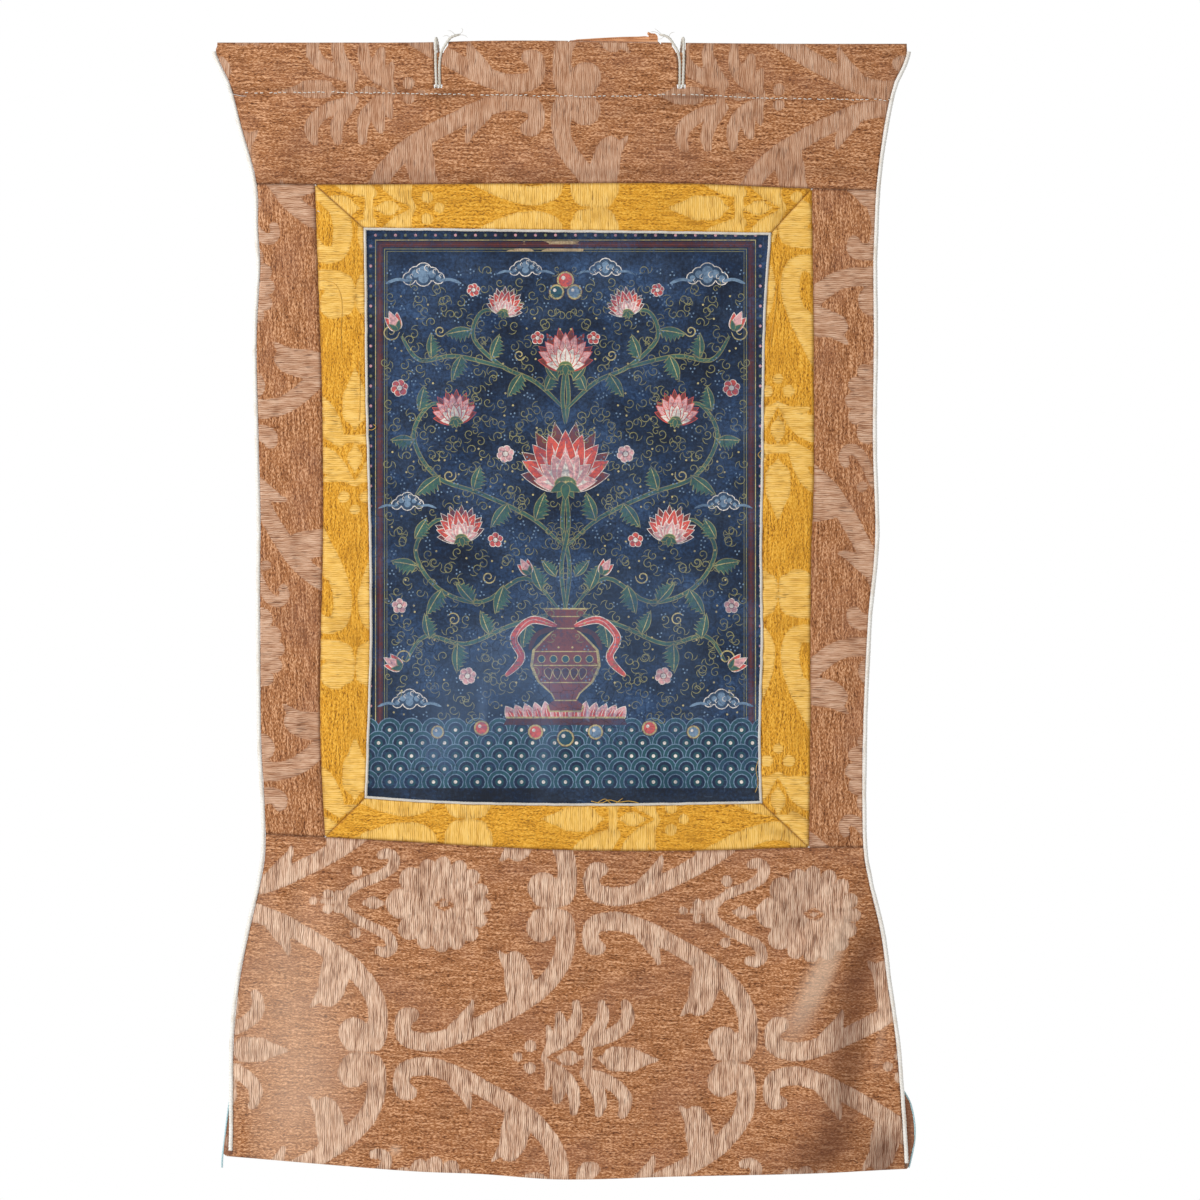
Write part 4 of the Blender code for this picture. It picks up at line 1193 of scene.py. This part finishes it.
def fillers():  # small tendrils and dots where the ground would be bare
    random = np.random.default_rng(11)
    taken = [(spots.mean(axis=0), np.abs(spots - spots.mean(axis=0)).max()) for spots, paint in drawing
             if np.ptp(spots[:, 0]) < 60 and np.ptp(spots[:, 1]) < 60]
    centres = np.array([spot for spot, reach in taken])
    reaches = np.array([reach for spot, reach in taken])
    made = []
    for x in range(8, 178, 11):
        for z in range(-198, 246, 11):
            at = np.array([x, z]) + random.uniform(-3.6, 3.6, 2)
            turn, kind = random.uniform(0, 360), random.random()
            room = min((np.linalg.norm(centres - at, axis=1) - reaches * 0.62).min(), 12)
            if room < 2.6:
                continue
            made.append((at, turn, kind, room))
    for (x, z), turn, kind, room in made:
        for side in (-1, 1):
            angle = turn if side > 0 else 180 - turn
            if kind < 0.62 and room > 4.6:
                curl(side * x, z, angle, min(room * 0.72, 5.4), 1.2, "olive", 0.8, side)
                ribbon(placed([(0, 0), (-4, 2.2 * side), (-8, 0)], side * x, z, angle), 0.7, "olive", step=2)
            elif kind < 0.8:
                for k in range(3):
                    spot = placed([(2.2, 0)], side * x, z, angle + 120 * k)[0]
                    disc(spot[0], spot[1], 0.9, "mist")
            else:
                disc(side * x, z, 1.1, "gilt")


def canvasFace():
    made = Finish("paintedCanvas", 0.6)
    u, v = made.weave()
    body, tone = made.fact("body"), made.fact("tone")
    clouds = made.noise(u, v, 88, 70, 4.0, 0.6, shift=3.0)
    blots = made.noise(u, v, 30, 26, 4.0, 0.62, shift=7.0)
    grit = made.noise(u, v, 3.2, 3.2, 4.0, 0.66, shift=11.0)
    warpLines = made.noise(u, v, 0.9, 26, 2.0, 0.6, shift=13.0)
    weftLines = made.noise(u, v, 26, 0.9, 2.0, 0.6, shift=17.0)
    ground = made.ramp(made.step(clouds * 0.42 + blots * 0.42 + grit * 0.5, 0.44, 0.92),
                       (0.0, tint(6, 16, 34)), (0.45, tint(17, 36, 62)), (0.7, tint(26, 50, 84)),
                       (1.0, tint(54, 84, 124)))
    # paint thins where it has been rubbed, and brush strokes vary its strength
    worn = made.step(blots * 0.7 + grit * 0.55 + (warpLines + weftLines) * 0.16, 0.66, 0.92)
    strokes = made.noise(u, v, 5, 2.2, 2.0, 0.6, shift=19.0)
    cover = body * (1 - worn * 0.56) * (0.76 + strokes * 0.5)
    # dust lies in the threads, and the paler patches and streaks over the lower part are fading with painted
    # sheen
    threads = made.step(warpLines.most(weftLines) + grit * 0.35, 0.80, 1.02)
    dust = made.step(clouds + (grit - 0.5) * 0.5, 0.34, 0.82)
    paleFadeAndSheen = made.step(tone, 0.0, 1.0)
    # fine cracks, and small losses down to the pale ground
    pits = made.node("TexVoronoi", {}, dict(
        Vector=made.place((u + (blots - 0.5) * 8) / 11, (v + (grit - 0.5) * 6) / 9, 2.0), Scale=1.0))
    creases = made.node("TexVoronoi", dict(feature="DISTANCE_TO_EDGE"), dict(
        Vector=made.place(u / 13 + blots * 0.9, v / 15 + grit * 0.3), Scale=1.0), "Distance")
    crack = made.step(creases, 0.030, 0.004) * made.step(clouds, 0.42, 0.62)
    losses = made.step(grit * 0.8 + blots * 0.5, 0.88, 0.93)
    # the darker places of the light-and-marks fact are painted shade along the window's edges, under the
    # border
    colour = made.over(
        ground, (made.fact("pigment", "Color"), cover), (tint(12, 18, 28), made.step(grit, 0.56, 0.7) * 0.24),
        (tint(130, 154, 184), threads * (0.20 + dust * 0.28)),
        (tint(110, 136, 172), dust * 0.16 + paleFadeAndSheen * 0.40),
        (tint(14, 20, 30), made.step(tone, 0.0, -1.0) * 0.5),
        (tint(10, 14, 22), crack * 0.42), (tint(168, 162, 152), losses * 0.55))
    height = body * 0.5 + warpLines * 0.5 + weftLines * 0.5 - crack * 0.6 + pits * 0.1 - losses * 0.5
    made.bump(height, 0.0003, 0.8)
    made.paint({"Base Color": colour, "Roughness": 0.52 + worn * 0.24 + dust * 0.1,
                "Specular IOR Level": 0.28})
    return made.material


def canvasBack():
    made = Finish("canvasBack", 0.9)
    u, v = made.weave()
    threads = (u * (2 * math.pi / 1.5)).sine() * (v * (2 * math.pi / 1.5)).sine()
    slubs = made.noise(u, v, 5, 1.6, 2.0) + made.noise(u, v, 1.6, 5, 2.0, shift=4.0)
    blots = made.noise(u, v, 46, 60, 4.0, 0.6, shift=9.0)
    colour = made.over(tint(196, 174, 140), (tint(150, 126, 96), made.step(slubs, 0.7, 1.3)),
                       (tint(96, 90, 84), made.step(blots, 0.5, 0.72) * 0.5))
    made.bump(threads * 0.5 + slubs, 0.0003)
    made.paint({"Base Color": colour})
    return made.material


pictureLightAndMarks = [  # painted shade along the window's edges, paler fading and painted sheen lower down: x, z, angle, length, width, paler or darker
    (-60, -640, 10, 130, 60, 0.55), (40, -560, 0, 120, 60, 0.3), (-120, -700, 70, 40, 26, 0.4),
    (-20, -720, 84, 60, 16, 0.42), (120, -650, 90, 90, 30, 0.24), (-150, -500, 90, 90, 20, 0.2),
    (60, -420, 20, 90, 40, 0.14), (-190, -300, 90, 120, 8, -0.5), (0, -196, 0, 220, 9, -0.5),
    (194, -330, 90, 120, 8, -0.45), (24, -672, 90, 14, 1.6, 0.9), (-80, -672, 90, 24, 3, 0.4),
    (0, -752, 0, 220, 8, -0.2), (-184, -730, 80, 30, 14, -0.5), (150, -440, 90, 80, 24, 0.16),
]


def withoutHidden(corners, kept, plain):  # the same sheet, cut only along the outlines that show
    colours = [None] + [paint for spots, paint in drawing]
    sheet = BVHTree.FromPolygons([(x, z, 0) for x, z in corners], [face for face, top in kept])
    sides = {}
    for face, top in kept:
        for a, b in zip(face, face[1:] + face[:1]):
            sides.setdefault((min(a, b), max(a, b)), []).append(colours[top])
    shown = [side for side, paints in sides.items() if len(paints) == 1 or paints[0] != paints[1]]
    number = {corner: k for k, corner in enumerate(sorted({corner for side in shown for corner in side}))}
    points = [corners[corner] for corner in number] + plain
    made = delaunay_2d_cdt(points, [(number[a], number[b]) for a, b in shown], [], 0, 1e-4, False)
    result = []
    for face in made[2]:
        middle = sum((made[0][corner] for corner in face), Vector((0, 0))) / 3
        under = sheet.ray_cast((middle.x, middle.y, 1), (0, 0, -1))[2]
        if under is not None:
            result.append((face, kept[under][1]))
    return made[0], result


def outlinesInPlace():  # the canvas's own edge, the outlines on it and the plain points between
    middleX, middleZ = picture["middle"]
    room = cord["pipingR"] + cloth["gap"] - 0.8
    across = np.linspace(0, 1, int(2 * picture["halfWide"] / picture["pitch"]) + 1)
    up = np.linspace(0, 1, int(2 * picture["halfHigh"] / picture["pitch"]) + 1)
    x, z = gridBetween([moved(innerLeft, room), moved(innerRight, -room)], np.clip(across, 0, almostAll),
                       moved(windowBottom, room), moved(windowTop, -room), up)
    grid = np.stack([x - middleX, z - middleZ], 2)
    rim = np.concatenate([grid[0], grid[1:, -1], grid[-1, -2::-1], grid[-2:0:-1, 0]])
    plain = [Vector(spot) for spot in grid[1:-1, 1:-1].reshape(-1, 2)]
    corners, faces = [], []
    for spots in [rim] + [spots for spots, paint in drawing]:
        faces.append(list(range(len(corners), len(corners) + len(spots))))
        corners += [Vector(spot) for spot in spots]
    print("picture outlines", len(drawing), "points", len(corners) + len(plain))
    made = delaunay_2d_cdt(corners + plain, [], faces, 1, 1e-4, True)
    kept = [(face, max(owner)) for face, owner in zip(made[2], made[5]) if 0 in owner]
    return withoutHidden(made[0], kept, plain) + (plain,)


def edgeLoop(triangles, count):  # the corners round the edge of a sheet, in order
    sides = np.concatenate([triangles[:, [0, 1]], triangles[:, [1, 2]], triangles[:, [2, 0]]])
    key = lambda pairs: pairs[:, 0] * count + pairs[:, 1]
    free = sides[~np.isin(key(sides), key(sides[:, ::-1]))]
    onward = dict(free.tolist())
    loop = [int(free[0, 0])]
    while onward[loop[-1]] != loop[0]:
        loop.append(onward[loop[-1]])
    return loop


def makePicture():
    for draw in (frameLines, waves, growVines, vase, jewels, fillers):
        draw()
    corners, kept, plain = outlinesInPlace()
    print("picture triangles", len(kept))
    flat = np.array([tuple(corner) for corner in corners])
    front = np.array([face for face, top in kept])
    used = np.zeros(len(flat), bool)
    used[front.ravel()] = True
    front = (np.cumsum(used) - 1)[front]
    flat = flat[used]
    count = len(flat)
    loop = edgeLoop(front, count)
    made = delaunay_2d_cdt([Vector(spot) for spot in flat[loop]] + plain, [], [list(range(len(loop)))],
                           1, 1e-5, True)
    back = np.array([face for face, owner in zip(made[2], made[5]) if owner])
    at = {source: place for place, sources in enumerate(made[3]) for source in sources}
    wall = [(loop[k - 1], at[k - 1 if k else len(loop) - 1] + count, at[k] + count, loop[k])[::-1]
            for k in range(len(loop))]
    flat = np.concatenate([flat, [tuple(corner) for corner in made[0]]])
    x, z = (flat + picture["middle"]).T
    depth = relief(x, z) + fineRelief(x, z) * 0.6 + 0.9
    depth += np.where(np.arange(len(flat)) < count, -0.5, 0.5) * picture["thick"]
    faces = front.tolist() + (back[:, ::-1] + count).tolist() + wall
    mesh = meshFrom("canvas", np.stack([x, depth, z], 1), faces)
    layWeave(mesh, x, z)
    paintFacts(mesh, dict(tone=lightAndMarksFrom(pictureLightAndMarks, x, z)))
    colours = np.array([(0, 0, 0, 0)] + [paint for spots, paint in drawing])
    perCorner = np.zeros((len(mesh.loops), 4), np.float32)
    perCorner[:front.size] = np.repeat(colours[[top for face, top in kept]], 3, axis=0)
    pigment = mesh.attributes.new("pigment", "FLOAT_COLOR", "CORNER")
    pigment.data.foreach_set("color", perCorner.ravel())
    body = mesh.attributes.new("body", "FLOAT", "CORNER")
    body.data.foreach_set("value", perCorner[:, 3].copy())
    markBack(mesh, len(front), len(front) + len(back))
    piece = addPiece("paintedCanvas", mesh, "painted_canvas", ["picture"], canvasFace(), canvasBack())


tieSpots = [  # x from the slit's straight side, z, depth: from the knot, round the lath, to behind
    (27, 6.0, -3.71), (21.5, 5.0, -4.91), (16.4, 2.2, -5.51), (11.5, -4.6, -5.41), (7.8, -11.4, -5.11),
    (5.9, -22, -4.91), (5.8, -34, -4.91), (5.9, -41, -4.91), (6.2, -44, -4.81), (6.2, -45.5, -3.5),
    (6.2, -45.5, 1.2), (6.0, -43.6, 4.2), (5.6, -36, 5.22), (5.0, -16, 5.02), (4.0, -4, 4.72),
    (3.0, 1.6, 2.32), (2.2, 2.4, -2.7), (2.0, -1.6, -4.91), (1.9, -8, -5.51), (1.9, -20, -5.51),
    (2.3, -34, -5.51), (2.6, -41, -5.51), (2.6, -44, -5.41), (2.6, -45.5, -3.5), (2.6, -45.5, 1.2),
    (2.4, -46.5, 4.62), (1.6, -52, 5.12), (-0.6, -60, 5.52),
]
wispSpots = {  # loose fibres at each tie's knot, as the tie's own points
    "left": [[(24, 6, -4), (28, 8, -5), (29, 11, -5.5), (27, 12.5, -5)],
             [(22, 5, -5), (18, 9, -6), (14, 10, -6)], [(26, 6, -4), (31, 5, -5), (34, 3, -5.4)],
             [(17, 3, -5.6), (13, 5, -6.2), (9, 4, -6)]],
    "right": [[(25, 6, -4), (30, 8.5, -5), (35, 9, -5.5)], [(24, 6, -4), (27, 9, -5), (31, 12, -5.2)],
              [(21, 5, -5), (24, 2, -6), (29, 1, -6)], [(17, 3, -5.6), (15, 7, -6.2), (11, 8.4, -6)]],
}


def makeTies():
    for side, start, sign in (("left", slit["leftX"], 1), ("right", slit["rightX"], -1)):
        def placeTie(spots, step):
            return smoothRoute([(start + sign * x, depth, z) for x, z, depth in spots], step)
        tubes = [tubeMesh(placeTie(tieSpots, 0.9)[::-1], cord["tieR"] * 1.12, 12, 7.0, 0.36, 5)]
        tubes += [tubeMesh(placeTie(wisp, 0.7), 0.22, 5, 3.0, 0.2, 4) for wisp in wispSpots[side]]
        addCords(side + "Tie", tubes, ["tie_" + side], tieCord)


def lieOn(points, lift=0.5):  # put (x, z) points on the face of the cloth
    x, z = np.array(points, float).T
    return np.stack([x, faceDepth(x, z) - 0.62 - lift, z], 1)


def makeHemEdges():  # the pale blue rim of the turned-up cloth, outside each lower corner
    for name, line, sign in (("left", hemLeft, -1), ("right", hemRight, 1)):
        z = np.linspace(-1050, -1127, 60)
        x = line(z) + sign * 0.3
        route = np.stack([x, relief(x, z) + cloth["hemY"] + 0.3 * softNoise(71, z / 6, z * 0), z], 1)
        addCords(name + "HemEdge", [tubeMesh(route, 1.0, 8, 6.0, 0.24)], [], blueThread)


def makeStitches():
    random = np.random.default_rng(5)
    tubes = []
    x = -318.0
    while x < 326:
        length = 2.4 + 0.8 * random.random()
        z = float(stitchLine(x)) + random.uniform(-0.5, 0.5)
        tilt = random.uniform(-0.25, 0.25)
        route = lieOn([(x + t * length, z + tilt * t * length) for t in (0, 0.2, 0.5, 0.8, 1)])
        route[:, 1] -= 0.15
        route[[0, -1], 1] += 0.9   # the ends go into the cloth
        if random.random() > 0.12:
            tubes.append(tubeMesh(route, 0.46, 6))
        x += length + 1.3 + 1.3 * random.random()
    addCords("casingStitches", tubes, [], whiteCord)


looseThreads = [  # white or yellow, radius, points on the cloth
    ("white", 0.3, [(-334, -52), (-328, -53.5), (-322, -55), (-316, -55)]),
    ("yellow", 0.35, [(-196, -388), (-191, -389), (-187, -386), (-190, -383)]),
    ("yellow", 0.3, [(199, -409), (195, -414), (200, -421), (197, -427)]),
    ("yellow", 0.3, [(196, -718), (193, -728), (195, -742), (192, -752)]),
    ("yellow", 0.4, [(28, -760), (38, -762), (46, -759), (56, -761), (66, -760), (76, -762)]),
    ("yellow", 0.35, [(34, -762), (42, -758), (50, -763), (60, -757)]),
    ("yellow", 0.28, [(-236, -240), (-228, -243), (-223, -252), (-221, -266), (-222, -290), (-221, -310)]),
    ("yellow", 0.28, [(214, -250), (212, -270), (209, -290), (208, -306)]),
    ("yellow", 0.28, [(-204, -320), (-203, -350), (-204, -380)]),
    ("white", 0.5, [(-245.5, -170), (-244, -170.4), (-243, -171.4)]),
]


def makeLooseThreads():
    for colour, finish, slot in (("white", whiteCord, "white_cord"),
                                 ("yellow", yellowThread, "gold_damask")):
        routes = [(lieOn(smoothRoute([(x, 0, z) for x, z in spots], 0.9)[:, [0, 2]], 0.25), radius)
                  for kind, radius, spots in looseThreads if kind == colour]
        tubes = [tubeMesh(route, radius, 5, 2.0, 0.1, 3) for route, radius in routes]
        addCords(colour + "LooseThreads", tubes, [], finish, slot)


def lathFinish():
    made = Finish("lathWood", 0.62)
    x, _, z = (part * 1000 for part in made.parts(made.node("TexCoord", {}, {}, "Object")))
    grain = made.noise(x, z + (made.noise(x, z, 60, 9, 2.0) - 0.5) * 3, 70, 0.9, 4.0, 0.62)
    fibres = made.noise(x, z, 16, 0.35, 3.0, 0.6, shift=3.0)
    knots = made.noise(x, z, 26, 8, 2.0, shift=9.0)
    colour = made.ramp(made.step(grain * 0.7 + fibres * 0.5, 0.36, 0.84), (0.0, tint(150, 84, 46)),
                       (0.4, tint(214, 144, 92)), (0.62, tint(232, 170, 120)), (1.0, tint(246, 206, 168)))
    colour = made.over(colour, (tint(178, 110, 66), made.step(knots, 0.56, 0.74) * 0.5))
    made.bump(grain + fibres * 0.8, 0.0004)
    made.paint({"Base Color": colour, "Roughness": 0.56 + fibres * 0.2})
    return made.material


def makeLath():
    start, end = slit["worn"]
    low, top = lath["top"] + lath["slope"], lath["top"]
    leftX, rightX = slit["leftX"], slit["rightX"]
    outline = [
        (lath["left"], lath["bottom"]), (lath["right"], lath["bottom"]), (lath["right"], low),
        (rightX + 2, low), (rightX - 3, -12), (rightX - 10, -12), (rightX - 19, low), (end - 2, top),
        (end - 3.4, 1), (end - 4.4, lath["tongue"] - 3), (end - 6.6, lath["tongue"] - 1.6),
        (end - 8.6, lath["tongue"] - 2.0), (end - 13, lath["tongue"]), (end - 14, 7), (end - 12, 5),
        (end - 11, 3.6), (end - 16, 4.6), (end - 22, 4.2), (start + 56, 3.9), (start + 42, 3.3),
        (start + 26, 2.4), (start + 12, 1.4), (start + 4, 0.4), (start + 3, top), (leftX + 22, top),
        (leftX + 10, -12), (leftX + 3, -12), (leftX - 2, top - 1), (lath["left"], top - 1.4),
    ]
    count = len(outline)
    near, far = lath["y"] - lath["thick"] / 2, lath["y"] + lath["thick"] / 2
    spots = [(x, y, z) for y in (near, far) for x, z in outline]
    faces = [tuple(range(count)), tuple(range(2 * count - 1, count - 1, -1))]
    faces += [((k + 1) % count, k, k + count, (k + 1) % count + count) for k in range(count)]
    wood = lathFinish()
    piece = addPiece("splitLath", meshFrom("lath", spots, faces, False), "lath_wood", ["lath"], wood)
    rounding = piece.modifiers.new("Rounded", "BEVEL")
    rounding.width = 0.0006
    rounding.segments = 3
    rounding.limit_method = "ANGLE"
    bpy.context.view_layer.update()
    # the splinters at the end of the broken tongue, and a lifted sliver
    tubes = []
    for k, short in enumerate((0.4, 1.1, 1.9, 1.2, 2.6, 2.0, 3.2)):
        at = end - 12.6 + k * 1.35
        route = smoothRoute([(at + 1.2, near - 0.1, 1.0), (at + 0.6, near - 0.3, 4.0),
                             (at, near - 0.2, lath["tongue"] - short)], 0.8)
        tubes.append(tubeMesh(route, 0.5, 6, 0, 0, 3))
    sliver = smoothRoute([(start + 8, near - 0.4, 0.6), (start + 30, near - 0.7, 1.9),
                          (start + 56, near - 0.6, 3.0), (end - 16, near - 0.4, 3.6)], 1.2)
    tubes.append(tubeMesh(sliver, 0.55, 6, 0, 0, 6))
    addCords("lathSplinters", tubes, [], wood, "lath_wood")


def makeStage():
    floor = bpy.data.meshes.new("floor")
    spots = [(-1.6, -1.6, -1.26), (1.7, -1.6, -1.26), (1.7, 0.75, -1.26), (-1.6, 0.75, -1.26)]
    floor.from_pydata(spots, [], [(0, 1, 2, 3)])
    ground = addThing("paleFloor", floor)
    finish = Finish("paleFloor", 0.9)
    where = finish.node("TexCoord", {}, {}, "Object")
    cloudy = finish.node("TexNoise", {}, dict(Vector=where, Scale=3.0), "Fac")
    finish.paint({"Base Color": finish.over(tint(236, 234, 230), (tint(244, 243, 240), cloudy))})
    floor.materials.append(finish.material)
    world = bpy.data.worlds.new("studio")
    world.use_nodes = True
    bpy.context.scene.world = world
    tree = world.node_tree
    back = tree.nodes["Background"]
    back.inputs["Color"].default_value = (1, 1, 1, 1)
    seen = tree.nodes.new("ShaderNodeLightPath")
    strength = tree.nodes.new("ShaderNodeMapRange")
    strength.inputs["To Min"].default_value = 0.46
    strength.inputs["To Max"].default_value = 1.0
    tree.links.new(seen.outputs["Is Camera Ray"], strength.inputs["Value"])
    tree.links.new(strength.outputs[0], back.inputs["Strength"])
    lamps = {  # place, power, size
        "key": ((-2.6, -1.9, 0.8), 84, 0.9), "fill": ((2.2, -2.6, -0.2), 16, 1.8),
        "behind": ((0.3, 2.6, 0.4), 60, 2.0),
    }
    for name, (place, power, size) in lamps.items():
        lamp = bpy.data.lights.new(name, "AREA")
        lamp.energy = power
        lamp.size = size
        thing = addThing(name, lamp)
        thing.location = place
        thing.rotation_euler = (Vector((0.02, 0, -0.56)) - Vector(place)).to_track_quat("-Z", "Y").to_euler()
    lens = bpy.data.cameras.new("camera")
    lens.lens = 180
    lens.sensor_width = 36
    lens.clip_end = 50
    camera = addThing("camera", lens)
    camera.location = (0.037, -6.0, -0.559)
    camera.rotation_euler = (math.radians(90), 0, 0)
    bpy.context.scene.camera = camera
    bpy.context.scene.view_settings.view_transform = "Standard"


makeStage()
print("stage ready")
makeHeading()
print("heading ready")
makeStrips()
makeBorder()
print("strips and border ready")
makeFoot()
print("foot ready")
makePicture()
print("picture ready")
makePiping()
makeEdgeCords()
makeHemEdges()
makeTies()
makeStitches()
makeLooseThreads()
print("cords and stitches ready")
makeLath()
print("lath ready")
